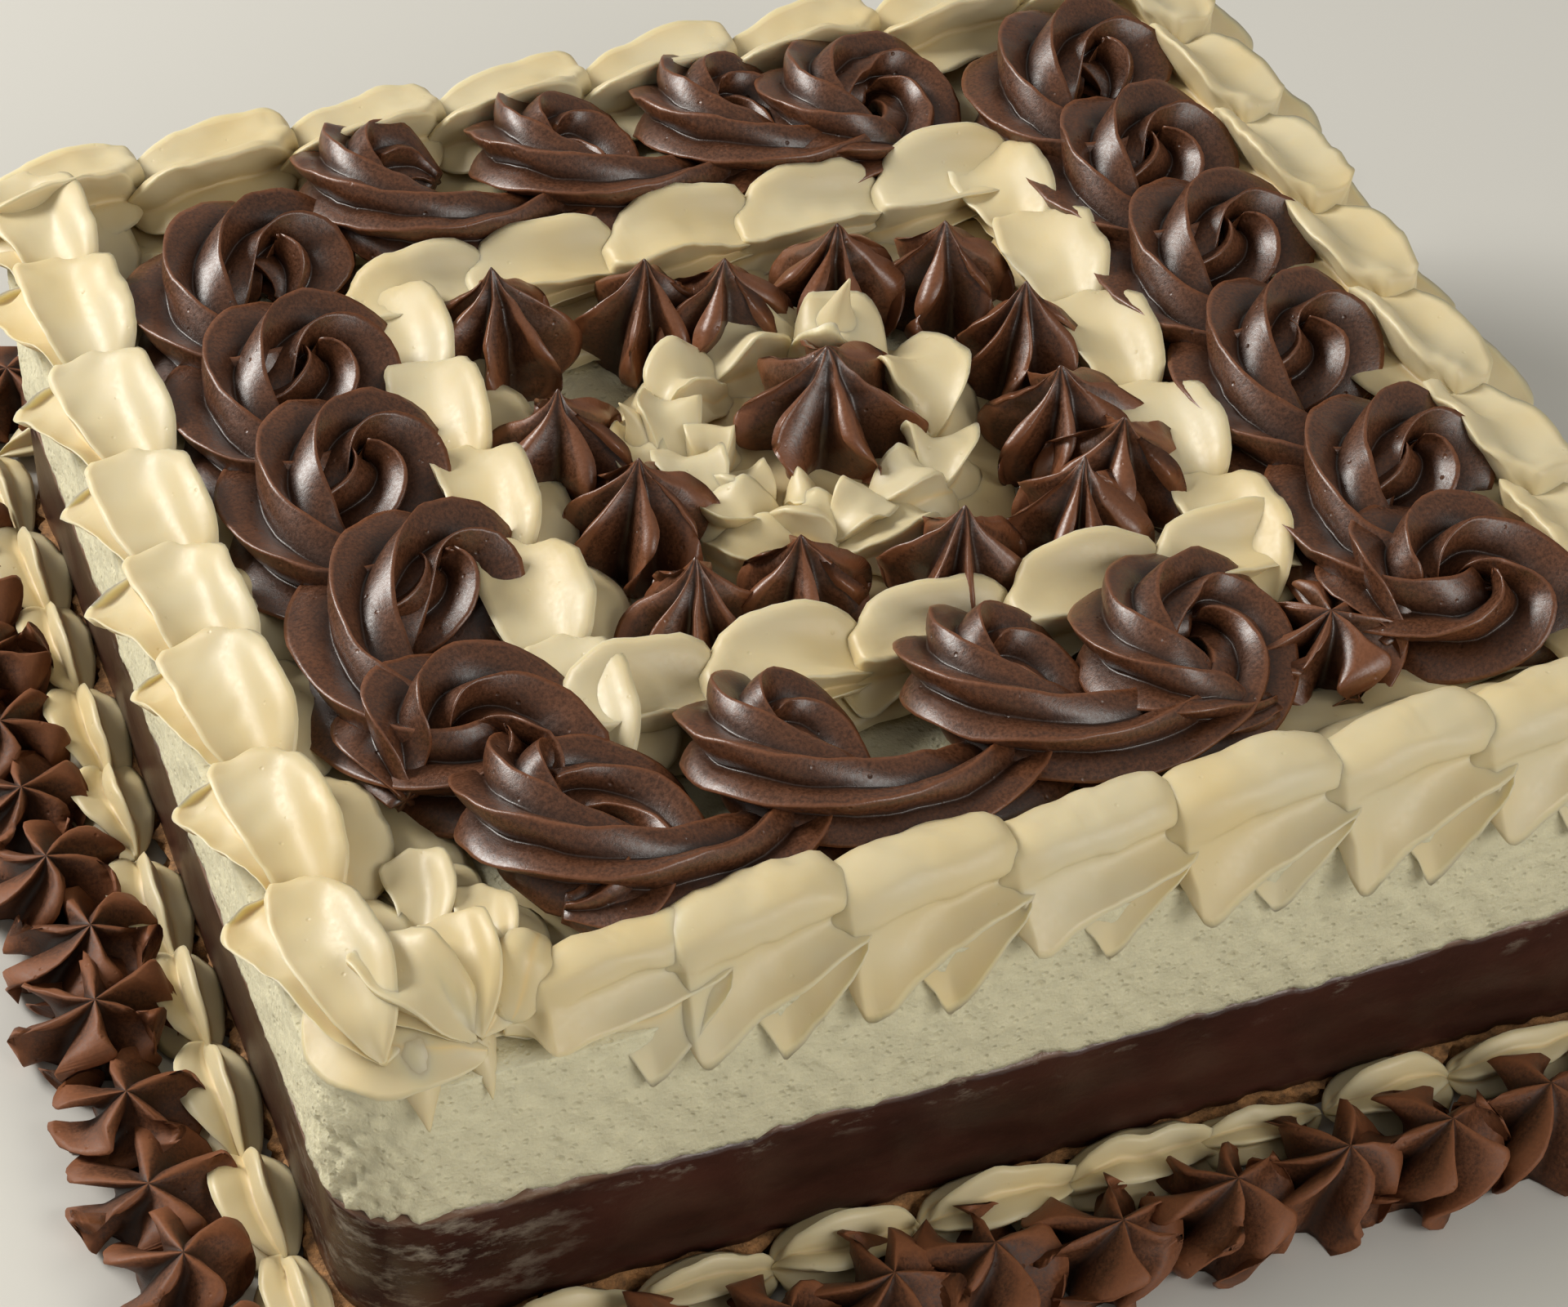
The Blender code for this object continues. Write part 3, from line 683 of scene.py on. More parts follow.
# The edges of a front shell from its head to its tail: angles in degrees and reaches in mm
PILLOW_REACH = (
    (0, 1), (0.07, 2.4), (0.12, 5.6), (0.17, 8.2), (0.4, 9.8), (0.7, 10.3), (0.84, 10.0), (0.91, 8.8),
    (0.96, 5.6), (1, 1),
)
FLAP_ANGLE = ((0, -84), (0.3, -76), (0.48, -62), (0.58, -65), (0.7, -50), (0.8, -30), (0.95, 6), (1, 10))
FLAP_REACH = (
    (0, 2.5), (0.38, 6), (0.44, 9.4), (0.5, 13.4), (0.56, 18.0), (0.60, 17.4), (0.7, 13), (0.8, 10),
    (0.92, 7.6), (1, 0.8),
)
UNDER_ANGLE = ((0, -64), (0.21, -66), (0.5, -46), (0.7, -28), (0.8, -10), (0.95, 10), (1, 14))
UNDER_REACH = ((0, 2.5), (0.2, 5.0), (0.5, 5.4), (0.9, 4.6), (1, 0.8))
CREASE_ANGLE = ((0, 45), (0.15, 24), (0.5, 48), (0.9, 62), (1, 62))
CREASE_REACH = ((0, 0.6), (0.11, 1.2), (0.17, 4.4), (0.35, 3.3), (0.6, 2.4), (0.9, 3.0), (1, 0.8))


def hanging_fin(hang, turn, share):
    """The lower fin of a front shell, whose point hangs down near its head."""
    angle = (
        (0, -10 - 34 * hang), (0.21, -12 - 38 * hang + turn), (0.26, -13 - 35 * hang),
        (0.35, -13 - 25 * hang), (0.5, -11 - 14 * hang), (0.75, -2), (0.92, 10), (1, 14),
    )
    reach = (
        (0, 1.4), (0.09, 3.2), (0.12, 6.6), (0.145, 9.4 + 2.2 * hang), (0.175, 10.3 + 4.1 * hang),
        (0.21, 10.3 + 4.6 * hang), (0.26, 10.2 + 3.9 * hang), (0.35, 9.9 + 1.8 * hang), (0.5, 9.6),
        (0.75, 8.2), (0.92, 7.2), (0.97, 5.4), (1, 0.8),
    )
    return Edge(angle, times(reach, share), 0.03, ((0, 0.06), (0.25, 0.0), (0.45, -0.06)))


def front_shells(skin):
    """The front row: upper pillows blunt on the right, over lower fins with points that hang on the left."""
    chance = np.random.default_rng(31)
    for k, (start, hang, flap, share) in enumerate(FRONT_SHELLS):
        size = chance.uniform(0.95, 1.05) * share
        turn = chance.uniform(-4, 4)
        pillow = times(PILLOW_REACH, size)
        edges = [
            groove(-105, ((0, 2), (0.2, 5.0), (0.9, 5), (1, 0.8))),
            Edge(FLAP_ANGLE, times(FLAP_REACH, flap), 0.02, -0.05),
            groove(UNDER_ANGLE, UNDER_REACH),
            hanging_fin(hang, turn, share),
            groove(CREASE_ANGLE, CREASE_REACH, soft=0.45),
            Edge(((0, 44), (0.2, 42), (0.6, 50), (1, 58)), times(pillow, 0.62), 0.04, 0.20, soft=0.8),
            Edge(((0, 96), (1, 100)), times(pillow, 0.93), 0.0, 0.14, soft=0.7),
            Edge(((0, 132), (1, 136)), times(pillow, 1.06), 0.0, 0.06),
            groove(160, ((0, 1), (0.08, 2.6), (0.16, 6.4), (0.9, 6.2), (1, 0.8))),
            Edge(184, times(pillow, 1.6), 0.05, 0.05),
        ]
        route = along_side("front", start, 34.5, (105.4, 104.8, 103.8), (60.4, 61.0, 61.2))
        piped_shell(skin, route, edges, 300 + k, rows=52, crowded=(0.14, 0.18, 0.5, 0.58))


def disc(peak, height, base, start=0.0, end=1.0):
    """How far a lobe's edge stands out along a shell: round at its head, longer at its tail."""
    places = np.array((0.0, 0.04, 0.12, 0.25, 0.42, 0.62, 0.82, 0.94, 1.0))
    shares = np.array((0.0, 0.36, 0.66, 0.90, 1.0, 0.92, 0.62, 0.30, 0.0))
    places = start + (end - start) * places
    return tuple(zip(places, base + (height - base) * shares * peak))


# Where each shell of the other rows starts, in mm along its side. The first of a side meets the one before
SIDE_STARTS = {
    "left": (-110.5, -86.5, -57.5, -30.5, -6.5, 15.7, 43.7, 71.0),
    "right": (-113.0, -87.0, -60.5, -33.0, -6.0, 21.5, 49.0, 78.0),
    "back": (-112.0, -85.0, -57.0, -30.0, -2.0, 25.5, 52.0, 80.0),
}


# How far the edges of a side shell reach from its head to its tail, in mm
CURL_REACH = ((0, 3), (0.03, 9.0), (0.07, 12.6), (0.13, 13.6), (0.3, 11.8), (0.6, 9.2), (0.85, 7.0), (1, 0.8))
RIM_REACH = (
    (0, 1.6), (0.085, 2.6), (0.10, 6.4), (0.13, 8.8), (0.2, 9.9), (0.45, 10.2), (0.7, 9.2), (0.88, 6.8),
    (1, 0.8),
)
HOLLOW_REACH = (
    (0, 1.6), (0.085, 2.6), (0.105, 7.6), (0.15, 9.2), (0.3, 8.2), (0.6, 6.8), (0.85, 5.6), (1, 0.8),
)
BLADE_REACH = (
    (0, 1.5), (0.14, 4.0), (0.19, 8.4), (0.27, 11.8), (0.45, 13.6), (0.7, 13.4), (0.87, 11.2), (0.96, 6.5),
    (1, 0.8),
)
SIDE_CROWDED = (0.03, 0.11, 0.2)
LEFT_END_SIZE = 0.88


def resized(edges, factor):
    for edge in edges:
        edge.radius = times(edge.radius, factor)
    return edges


def side_section(chance, lift=0.0, flare=1.0):
    """The edges of a shell that slants inwards: a curled flap, a hollow face with a thin rim, and a blade."""
    size = chance.uniform(0.95, 1.06)
    flap = chance.uniform(0.85, 1.06) * flare
    turn = chance.uniform(-5, 5)
    curl_angle = ((0, 4 + turn), (0.06, -8 + turn), (0.3, 4), (0.6, 16), (0.85, 26), (1, 40))
    curl_before = ((0, 0.3), (0.2, 0.16), (0.5, 0.04))
    curl_after = ((0, -0.2), (0.2, -0.16), (0.5, -0.06))
    rim_angle = ((0, 62), (0.11, 60 + turn), (0.2, 50 + turn), (0.5, 45 + lift), (0.8, 44), (1, 50))
    return [
        groove(-100, ((0, 1.2), (0.1, 4.5), (0.9, 4), (1, 0.8))),
        Edge(curl_angle, times(CURL_REACH, flap), curl_before, curl_after),
        groove(((0, 26), (0.2, 20), (0.7, 30), (1, 44)), ((0, 1.2), (0.1, 4.4), (0.8, 4.4), (1, 0.7))),
        Edge(rim_angle, times(RIM_REACH, size), 0.03, -0.09),
        groove(((0, 98), (0.12, 104), (0.3, 114), (0.7, 112), (1, 100)), HOLLOW_REACH, soft=0.6),
        Edge(((0, 130), (0.5, 127 + turn), (1, 120)), times(BLADE_REACH, size), 0.16, 0.04),
        groove(151, ((0, 1.4), (0.15, 5.0), (0.8, 6.0), (1, 0.8))),
        Edge(172, times(BLADE_REACH, 1.12), 0.06, 0.04),
        groove(190, ((0, 1.4), (0.15, 6.0), (0.8, 5.6), (1, 0.8))),
    ]


def side_shells(skin, side):
    """A row of slanting shells, each with its head over the tail of the one before."""
    chance = np.random.default_rng({"right": 41, "back": 51, "left": 61}[side])
    for k, start in enumerate(SIDE_STARTS[side]):
        shift = chance.uniform(-0.6, 0.6)
        route = along_side(side, start + shift, 36.0, (105.4, 103.8, 101.0), (60.8, 61.2, 59.6))
        edges = side_section(chance, chance.uniform(-4, 4))
        if side == "left" and k == len(SIDE_STARTS[side]) - 1:
            edges = resized(edges, LEFT_END_SIZE)
        piped_shell(skin, route, edges, 400 + 20 * len(side) + k, rows=50, crowded=SIDE_CROWDED)


# The petals at the near left corner, in mm: the route of each, its size and how far its flap flares
CORNER_PETALS = (
    (((-99.6, -89.0, 61.6), (-95.5, -99.0, 62.4), (-88.0, -107.4, 58.8)), 0.80, 0.72),
    (((-88.2, -87.0, 61.6), (-86.4, -97.5, 63.6), (-87.0, -107.2, 59.6)), 0.66, 0.50),
    (((-88.5, -70.0, 58.8), (-87.5, -79.0, 59.8), (-90.0, -90.0, 58.6)), 0.62, 0.60),
    (((-80.0, -80.0, 59.4), (-81.0, -90.0, 61.0), (-84.0, -101.0, 59.0)), 0.62, 0.60),
)
LEAF_ROUTE = ((-106.5, -90.5, 59.0), (-101.0, -103.6, 58.0), (-86.6, -108.6, 58.2))
KNOB_ROUTE = ((-82.5, -106.5, 61.0), (-79.0, -101.0, 66.0), (-75.0, -94.0, 62.0))


def near_corner(skin):
    """Where the left row ends: curled petals, a leaf below them, points pulled downwards and a blunt knob."""
    chance = np.random.default_rng(71)
    for k, (route, size, flare) in enumerate(CORNER_PETALS):
        edges = resized(side_section(chance, flare=flare), size)
        piped_shell(skin, route, edges, 480 + k, rows=44, crowded=SIDE_CROWDED)
    leaf = [
        groove(-95, disc(1, 3.0, 0.6)), Edge(-14, disc(1, 7.4, 0.6), 0.1, -0.06),
        groove(70, disc(1, 2.6, 0.6)),
        Edge(130, disc(1, 5.0, 0.6), 0.1, 0.06), groove(190, disc(1, 3.0, 0.6)),
    ]
    piped_shell(skin, LEAF_ROUTE, leaf, 490, rows=30)
    pulled_tip(skin, (-95.8, -102.0, 56.6), (-96.8, -112.9, 50.0), 5.6, (-0.2, -1.8, 1.0))
    pulled_tip(skin, (-88.0, -103.5, 57.0), (-87.0, -111.2, 51.2), 3.6, (0.4, -1.2, 0.8))
    # The blunt knob where the front row begins
    knob = [
        groove(-60, disc(1, 3.6, 0.8)), Edge(0, disc(1, 4.8, 0.8), 0.14, 0.14), groove(60, disc(1, 3.8, 0.8)),
        Edge(120, disc(1, 4.8, 0.8), 0.14, 0.14), groove(200, disc(1, 3.8, 0.8)),
        Edge(250, disc(1, 4.6, 0.8), 0.14, 0.14),
    ]
    piped_shell(skin, KNOB_ROUTE, knob, 492, rows=24)


# Low cream smeared beside the border and beside the inner row: how far out, half its width and half its
# length, in mm
BORDER_HEM = (92.0, 15.0, 97.0)
INNER_HEM = (50.0, 13.0, 58.0)


def hem(skin, side, out, wide, half_length, seed):
    """Low cream smeared on the cake's top between two rows, in mm."""
    reach = ((0, 1), (0.03, wide * 0.8), (0.08, wide), (0.92, wide), (0.97, wide * 0.8), (1, 1))
    radii = (reach, 2.3, reach, 1.4)
    edges = [Edge(90 * k, radius, 0.1, 0.1) for k, radius in enumerate(radii)]
    route = along_side(side, -half_length, 2 * half_length, (out, out, out), (56.4, 56.5, 56.4))
    piped_shell(skin, route, edges, seed, rows=48, per_flank=6, rough=1.5)


# The rows at the foot and inside the loops, in mm along a side
FOOT_SHELLS, FOOT_SHELL_START, FOOT_SHELL_PITCH = 10, -113, 22.3
FOOT_STARS, FOOT_STAR_START, FOOT_STAR_PITCH, FOOT_STAR_OUT = 15, -126, 17.9, 129.8
INNER_SHELLS, INNER_START, INNER_PITCH = 5, -62, 23.8


def low_cream(skin, side, seed):
    """The cream at the cake's foot: stretched shells with pulled tips."""
    chance = np.random.default_rng(seed)
    core = ((0, 0.6), (0.1, 2.2), (0.4, 3.0), (0.8, 2.0), (1, 0.5))
    for k in range(FOOT_SHELLS):
        start = FOOT_SHELL_START + k * FOOT_SHELL_PITCH + chance.uniform(-1.5, 1.5)
        size = chance.uniform(0.62, 1.08)
        turn = chance.uniform(-8, 8)
        edges = [
            groove(-100, core),
            Edge(((0, -20), (0.4, -10), (1, -24)), disc(size, 8.2, 0.8), 0.04, 0.03),
            groove(14, core),
            Edge(((0, 44), (0.4, 36 + turn), (1, 40)), disc(size, 8.6, 0.8, 0.0, 0.94), 0.08, 0.10),
            groove(72, core),
            Edge(98 + turn, disc(size, 8.0, 0.8, 0.06, 1.0), 0.12, 0.05),
            groove(130, core),
            Edge(165, disc(size, 6.4, 0.8), 0.1, 0.1),
        ]
        route = along_side(side, start, chance.uniform(21.0, 30.0), (115.0, 115.4, 114.8), (3.2, 3.6, 2.8))
        piped_shell(skin, route, edges, seed + k, rows=26, per_flank=4)


def inner_cream(skin, side, seed):
    """The cream row inside the loops: shells as in the border, whose hollow faces look at the viewer."""
    chance = np.random.default_rng(seed)
    for k in range(INNER_SHELLS):
        start = INNER_START + k * INNER_PITCH + chance.uniform(-1.5, 1.5)
        size = chance.uniform(0.88, 1.0)
        edges = resized(side_section(chance, chance.uniform(-6, 6), chance.uniform(0.7, 0.85)), size)
        route = along_side(side, start, 33.0, (54.5, 54.0, 54.0), (59.6, 60.4, 58.6))
        if side in ("back", "right"):
            route = route[::-1]
        piped_shell(skin, route, edges, seed + k, rows=34, per_flank=6, crowded=(0.05, 0.12))


# The petals in the middle: how far round and out each starts and ends, in degrees and mm, its height and
# its size
MIDDLE_PETALS = (
    (-20, 21, 42, 23, 62.0, 1.15), (30, 23, 78, 19, 63.0, 1.10), (70, 22, 118, 22, 61.5, 0.95),
    (105, 20, 150, 24, 61.5, 0.90), (140, 24, 182, 20, 61.0, 0.85), (170, 20, 215, 24, 60.5, 0.85),
    (205, 24, 243, 20, 60.5, 0.75), (232, 19, 268, 25, 60.5, 0.72), (258, 24, 292, 19, 60.5, 0.74),
    (280, 19, 318, 25, 60.5, 0.80), (308, 24, 346, 20, 61.0, 0.90), (60, 27, 100, 26, 60.0, 0.72),
    (215, 28, 262, 27, 58.5, 0.72), (255, 27, 305, 28, 58.5, 0.70), (150, 28, 196, 27, 59.0, 0.70),
    (192, 15, 234, 17, 60.6, 0.64), (238, 16, 268, 14, 60.2, 0.60), (150, 14, 190, 16, 60.8, 0.62),
)


PAD_RADIUS = 0.036
PAD_HEIGHT = 0.0056


def middle_petals(skin):
    """The cream bed in the middle: short curled petals that lie every way, with two pulled points."""
    chance = np.random.default_rng(8)
    core = ((0, 0.8), (0.12, 3.4), (0.4, 4.6), (0.8, 3.4), (1, 0.8))
    for k, (first, first_out, last, last_out, height, size) in enumerate(MIDDLE_PETALS):
        angles = np.radians(np.linspace(first, last, 3))
        outs = np.linspace(first_out, last_out, 3)
        if k % 2:
            angles, outs = angles[::-1], outs[::-1]
        heights = height + np.array((-1.0, 0.6, -1.6))
        route = np.stack([outs * np.cos(angles), outs * np.sin(angles), heights], axis=1)
        turn = chance.uniform(-16, 16)
        edges = [
            groove(-90, core),
            Edge(-12 + turn, disc(size, 9.2, 1.0), 0.06, -0.04),
            groove(22, core),
            Edge(((0, 60 + turn), (1, 40 + turn)), disc(size, 10.6, 1.0, 0.0, 0.95), 0.02, -0.08),
            groove(90, core, soft=0.5),
            Edge(((0, 118 + turn), (1, 134)), disc(size, 10.4, 1.0, 0.08, 1.0), 0.08, -0.04),
            groove(158, core),
            Edge(190, disc(size, 9.0, 1.0), 0.06, 0.0),
        ]
        piped_shell(skin, route, edges, 880 + k, rows=28, per_flank=6, rough=1.6)
    pulled_tip(skin, (13.5, 19.5, 63.0), (15.0, 18.0, 77.5), 6.0, (-1.0, 0.0, 0.0))
    pulled_tip(skin, (-24.5, 6.0, 60.0), (-28.0, 8.5, 70.5), 4.2, (0.8, 0.0, 0.8))
    # The low pad that the middle star and the petals sit on
    t = np.linspace(0, 1, 12)[:, None]
    around = np.linspace(0, 2 * math.pi, 72, endpoint=False)[None, :]
    radius = PAD_RADIUS * np.sqrt(1 - (t * 0.98) ** 2) * (1 + 0.05 * np.sin(5 * around))
    height = TOP + 0.0002 + t * PAD_HEIGHT
    grid = np.stack(np.broadcast_arrays(radius * np.cos(around), radius * np.sin(around), height), axis=-1)
    # The pad's ridge value of -0.4 gives it a little of the cream's painted crease shade.
    skin.add_grid(grid, -0.4)


# Operators


class CAKE_OT_chocolate_loops(bpy.types.Operator):
    """Pipe the four rows of chocolate loops"""

    bl_idname = "cake.chocolate_loops"
    bl_label = "Pipe chocolate loops"

    def execute(self, context):
        settings = context.scene.cake_piping
        material = chocolate_material(context.scene.cake_colours.chocolate)
        for number, (side, centres) in enumerate(LOOPS.items()):
            skin = Skin()
            shape = LOOPS_ACROSS if side in ("front", "back") else LOOPS_DOWN
            path_share, rope_share, lift, depth, sharp = shape
            first = -0.55 if side == "front" else -0.15
            last = len(centres) - 0.45
            path_radius = settings.loop_radius * path_share
            path, turns = loop_path(centres, LOOP_TRAVEL[side], path_radius, 64, first, last, lift)
            radius = np.full(len(path), settings.rope_radius * rope_share)
            speed = np.linalg.norm(np.gradient(path, axis=0), axis=1)
            radius *= (speed / speed.mean()) ** -0.12
            ends = smooth_step((turns - turns[0]) / 0.10) * smooth_step((turns[-1] - turns) / 0.18)
            radius *= 0.25 + 0.75 * ends
            path[:, 2] += TOP + settings.rope_radius * ROPE_TALL * 0.80
            depths = np.full(len(path), depth)
            piped_rope(skin, path, radius, ROPE_TALL, depths, 6, 14, sharp, 0.3, 0.10, 10 + number)
            if side == "front":
                star(skin, *CLOSING_STAR, 7, 12, 26, 63, twist=1.0, kind=LEAFY)
            skin.to_object("loops_" + side, material, ("chocolate_loops_" + side,))
        return {"FINISHED"}


class CAKE_OT_stars(bpy.types.Operator):
    """Pipe the ring of chocolate stars and the larger one in the middle"""

    bl_idname = "cake.stars"
    bl_label = "Pipe stars"

    def execute(self, context):
        settings = context.scene.cake_piping
        material = bpy.data.materials["chocolate_cream"]
        nodes = sorted(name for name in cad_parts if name.startswith("star_") and name != "star_centre")
        places = {name: sum(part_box(name), Vector()) / 2 for name in nodes}
        chance = np.random.default_rng(5)
        for number, tip in enumerate(STAR_TIPS):
            here = Vector((tip[0] * MM, tip[1] * MM, 0))
            name = min(places, key=lambda key: (places[key].xy - here.xy).length)
            del places[name]
            skin = Skin()
            lean = chance.uniform(-0.0012, 0.0012, 2)
            radius = settings.star_radius * chance.uniform(0.95, 1.07)
            height = settings.star_height * chance.uniform(0.93, 1.03)
            fins = int(chance.integers(6, 8))
            star(skin, here, radius, height, TOP - 0.0006, fins, 12, 34, 70 + number, lean=lean)
            skin.to_object(name.replace("star_", "rosette_"), material, (name,))
        skin = Skin()
        star(skin, *MIDDLE_STAR, 7, 14, 40, 98)
        skin.to_object("middle_rosette", material, ("star_centre",))
        return {"FINISHED"}


class CAKE_OT_cream_shells(bpy.types.Operator):
    """Pipe the cream: the border, the inner row and the bed in the middle"""

    bl_idname = "cake.cream_shells"
    bl_label = "Pipe cream"

    def execute(self, context):
        material = cream_material(tuple(context.scene.cake_colours.cream))
        for number, side in enumerate(SIDES):
            skin = Skin()
            if side == "front":
                front_shells(skin)
            else:
                side_shells(skin, side)
            if side == "left":
                near_corner(skin)
            hem(skin, side, *BORDER_HEM, 600 + number)
            skin.to_object("border_" + side, material, ("shell_border_" + side,))
            skin = Skin()
            inner_cream(skin, side, 700 + 20 * number)
            hem(skin, side, *INNER_HEM, 610 + number)
            skin.to_object("inner_row_" + side, material, ("inner_shells_" + side,))
        skin = Skin()
        middle_petals(skin)
        skin.to_object("middle_bed", material, ("cream_centre",))
        return {"FINISHED"}


class CAKE_OT_foot(bpy.types.Operator):
    """Pipe the cream and the chocolate stars round the cake's foot"""

    bl_idname = "cake.foot"
    bl_label = "Pipe the foot"

    def execute(self, context):
        cream = bpy.data.materials["butter_cream"]
        colour = scaled(context.scene.cake_colours.chocolate, 1.15)
        dull = chocolate_material(colour, "matte_chocolate", 0.35, 0.46)
        chance = np.random.default_rng(12)
        for number, side in enumerate(SIDES):
            skin = Skin()
            low_cream(skin, side, 900 + 30 * number)
            skin.to_object("low_cream_" + side, cream, ("foot_cream_" + side,))
            skin = Skin()
            for k in range(FOOT_STARS):
                place = (FOOT_STAR_START + k * FOOT_STAR_PITCH + chance.uniform(-1.5, 1.5)) * MM
                out = (FOOT_STAR_OUT + chance.uniform(-0.8, 0.8)) * MM
                centre = turned(side, place, out, 0.0)
                radius = 0.0130 * chance.uniform(0.9, 1.0)
                height = 0.0134 * chance.uniform(0.8, 1.08)
                fins = int(chance.integers(5, 7))
                lean = turned(side, 0.003, chance.uniform(-0.002, 0.002), 0.0)
                seed = 1000 + 50 * number + k
                star(skin, centre, radius, height, 0.0002, fins, 8, 18, seed, 0.9, LEAFY, lean)
            skin.to_object("foot_row_" + side, dull, ("foot_stars_" + side,))
        return {"FINISHED"}


def wall_path(step, half, corner):
    """Points and outward directions round a square with round corners, anticlockwise from the front left."""
    points, normals = [], []
    straight = half - corner
    count = int(round(2 * straight / step))
    bend = max(int(round(corner * math.pi / 2 / step)), 4)
    for side in SIDES:
        for along in np.linspace(-straight, straight, count, endpoint=False):
            points.append(turned(side, along, half, 0.0)[:2])
            normals.append(turned(side, 0.0, 1.0, 0.0)[:2])
        for angle in np.linspace(0, math.pi / 2, bend, endpoint=False):
            a = turned(side, math.sin(angle), math.cos(angle), 0.0)[:2]
            points.append(turned(side, straight, straight, 0.0)[:2] + corner * a)
            normals.append(a)
    return np.array(points), np.array(normals)


# Where the mousse is roughest, by the near left corner, and how far that reaches
ROUGH_CORNER = (-0.11, -0.11, 0.031)
ROUGH_REACH = 0.02


class CAKE_OT_layers(bpy.types.Operator):
    """Build the crumb base, the ganache and the mousse"""

    bl_idname = "cake.layers"
    bl_label = "Build the layers"

    def execute(self, context):
        colours = context.scene.cake_colours
        mousse = mousse_material(tuple(colours.mousse))
        ganache = ganache_material(tuple(colours.ganache))
        crumb = crumb_material(tuple(colours.crumb))
        self.layer("mousse", "mousse_layer", "mousse", mousse, GANACHE_TOP + 0.0001, TOP, 0.0009, 30)
        self.layer("ganache", "ganache_layer", "ganache", ganache, BASE_TOP + 0.0003, GANACHE_TOP, 0.0016, 16)
        self.layer("crumbs", "crumb_base", "crumb", crumb, 0.0, BASE_TOP, 0.0011, 6)
        return {"FINISHED"}

    def layer(self, name, node, slot, material, low, high, step, rows):
        """One layer's wall, with a point every step along it. Its foot and its top edge waver."""
        skin = Skin()
        points, normals = wall_path(step, HALF, CORNER)
        t = np.linspace(0, 1, rows)[:, None]
        around = np.column_stack([points, np.zeros(len(points))])
        edge = 0.00030 * soft_noise(around, 0.03, 77) + 0.00016 * soft_noise(around, 0.006, 78)
        ragged = 0.0009 * np.abs(soft_noise(around, 0.010, 79, 3))
        heights = low + (high - low) * t + np.zeros(len(points))
        if name == "mousse":
            heights = heights + (1 - t) ** 2 * (edge * 3)
        if name == "ganache":
            heights = heights + t**2 * (edge * 3) + (1 - t) ** 2 * ragged
        grid = np.stack(np.broadcast_arrays(points[:, 0], points[:, 1], heights), axis=-1)
        flat = grid.reshape(-1, 3)
        out = np.tile(np.column_stack([normals, np.zeros(len(normals))]), (rows, 1))
        if name == "mousse":
            shift = -0.0003 + 0.0002 * soft_noise(flat, 0.02, 81) + 0.00016 * soft_noise(flat, 0.004, 82, 3)
            by_corner = np.exp(-((flat - np.array(ROUGH_CORNER)) ** 2).sum(axis=1) / ROUGH_REACH**2)
            shift += by_corner * 0.0006 * soft_noise(flat, 0.0035, 85, 3)
        elif name == "ganache":
            shift = -0.0004 + 0.00022 * soft_noise(flat, 0.03, 83)
        else:
            shift = 0.0004 + 0.0013 * soft_noise(flat, 0.005, 84, 3)
        grid = (flat + out * shift[:, None]).reshape(grid.shape)
        # The top edge turns in a little, under the piping
        inner = grid[-1] * np.array((0.97, 0.97, 1.0))
        skin.add_grid(np.concatenate([grid, inner[None]], axis=0), 0.0)
        skin.to_object(name, material, (node,))


# The camera looks at a point on the floor, in mm. Its angles are in degrees, from the front and upwards
AIM = (3.41, 17.49, 0.0)
AZIMUTH, ELEVATION, DISTANCE = -20.1, 41.5, 749.1
LENS, SENSOR = 98.8, 36.0

# The two lamps: place, width in metres and power in watts. Both look at the middle of the cake
LAMPS = {
    "window": ((-0.95, 0.75, 0.85), 0.6, 23),
    "fill": ((0.55, -1.25, 0.85), 0.8, 11.5),
}
LAMP_COLOUR = (1.0, 0.97, 0.92)
LAMP_AIM = (0, 0, 0.04)
WORLD_COLOUR, WORLD_STRENGTH = (0.84, 0.82, 0.77, 1), 0.33
FLOOR_HALF = 4


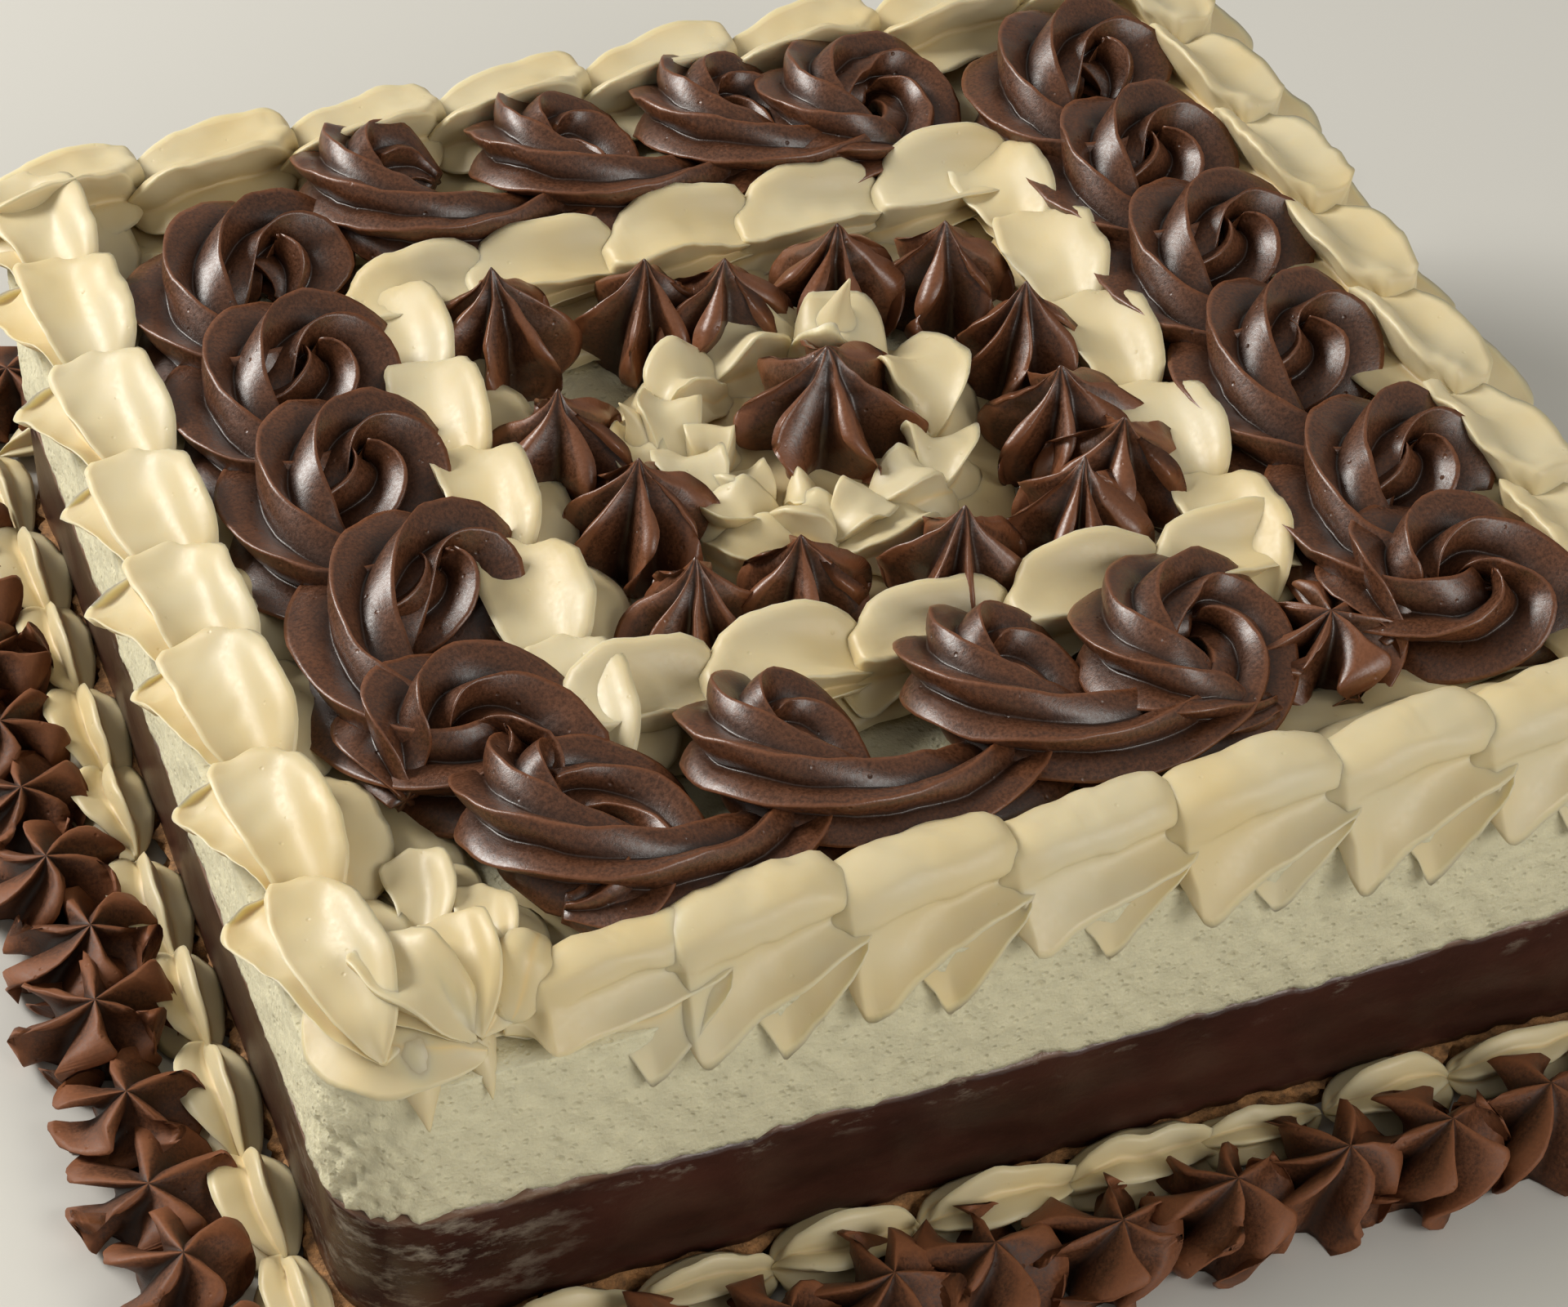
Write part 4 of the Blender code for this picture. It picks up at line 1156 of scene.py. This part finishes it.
class CAKE_OT_stage(bpy.types.Operator):
    """Set the floor, the lights and the camera"""

    bl_idname = "cake.stage"
    bl_label = "Set the stage"

    def execute(self, context):
        scene = context.scene
        camera = bpy.data.objects.new("camera", bpy.data.cameras.new("camera"))
        scene.collection.objects.link(camera)
        scene.camera = camera
        camera.data.sensor_width = SENSOR
        camera.data.lens = LENS
        camera.data.clip_start, camera.data.clip_end = 0.01, 20.0
        azimuth, elevation = math.radians(AZIMUTH), math.radians(ELEVATION)
        level = math.cos(elevation)
        back = Vector((math.sin(azimuth) * level, -math.cos(azimuth) * level, math.sin(elevation)))
        camera.location = Vector(AIM) * MM + back * (DISTANCE * MM)
        camera.rotation_euler = (-back).to_track_quat("-Z", "Y").to_euler()
        scene.view_settings.view_transform = "Standard"
        floor = bpy.data.objects.new("floor", bpy.data.meshes.new("floor"))
        corners = [turned(side, FLOOR_HALF, FLOOR_HALF, 0) for side in SIDES]
        floor.data.from_pydata(corners, [], [(0, 1, 2, 3)])
        floor.data.materials.append(node_material("pale_floor", context.scene.cake_colours.floor, 0.55)[0])
        scene.collection.objects.link(floor)
        world = bpy.data.worlds.new("studio")
        scene.world = world
        world.use_nodes = True
        background = world.node_tree.nodes["Background"]
        background.inputs["Color"].default_value = WORLD_COLOUR
        background.inputs["Strength"].default_value = WORLD_STRENGTH
        for name, (place, width, power) in LAMPS.items():
            lamp = bpy.data.lights.new(name, "AREA")
            lamp.energy, lamp.size, lamp.color = power, width, LAMP_COLOUR
            made = bpy.data.objects.new(name, lamp)
            made.location = place
            made.rotation_euler = (Vector(LAMP_AIM) - made.location).to_track_quat("-Z", "Y").to_euler()
            scene.collection.objects.link(made)
        return {"FINISHED"}


class CAKE_PT_sidebar(bpy.types.Panel):
    bl_label = "Cake"
    bl_idname = "CAKE_PT_sidebar"
    bl_space_type = "VIEW_3D"
    bl_region_type = "UI"
    bl_category = "Cake"

    def draw(self, context):
        for group in (context.scene.cake_piping, context.scene.cake_colours):
            for name in group.__annotations__:
                self.layout.prop(group, name)
        for operator in OPERATORS:
            self.layout.operator(operator.bl_idname)


OPERATORS = (
    CAKE_OT_layers,
    CAKE_OT_chocolate_loops,
    CAKE_OT_cream_shells,
    CAKE_OT_stars,
    CAKE_OT_foot,
    CAKE_OT_stage,
)
CLASSES = (CakePipingSettings, CakeColourSettings, *OPERATORS, CAKE_PT_sidebar)


def register():
    for made in CLASSES:
        bpy.utils.register_class(made)
    bpy.types.Scene.cake_piping = bpy.props.PointerProperty(type=CakePipingSettings)
    bpy.types.Scene.cake_colours = bpy.props.PointerProperty(type=CakeColourSettings)


def unregister():
    del bpy.types.Scene.cake_colours
    del bpy.types.Scene.cake_piping
    for made in reversed(CLASSES):
        bpy.utils.unregister_class(made)


def main():
    register()
    bpy.ops.cake.layers()
    bpy.ops.cake.chocolate_loops()
    bpy.ops.cake.cream_shells()
    bpy.ops.cake.stars()
    bpy.ops.cake.foot()
    bpy.ops.cake.stage()
    bpy.context.view_layer.update()


if __name__ == "__main__":
    main()
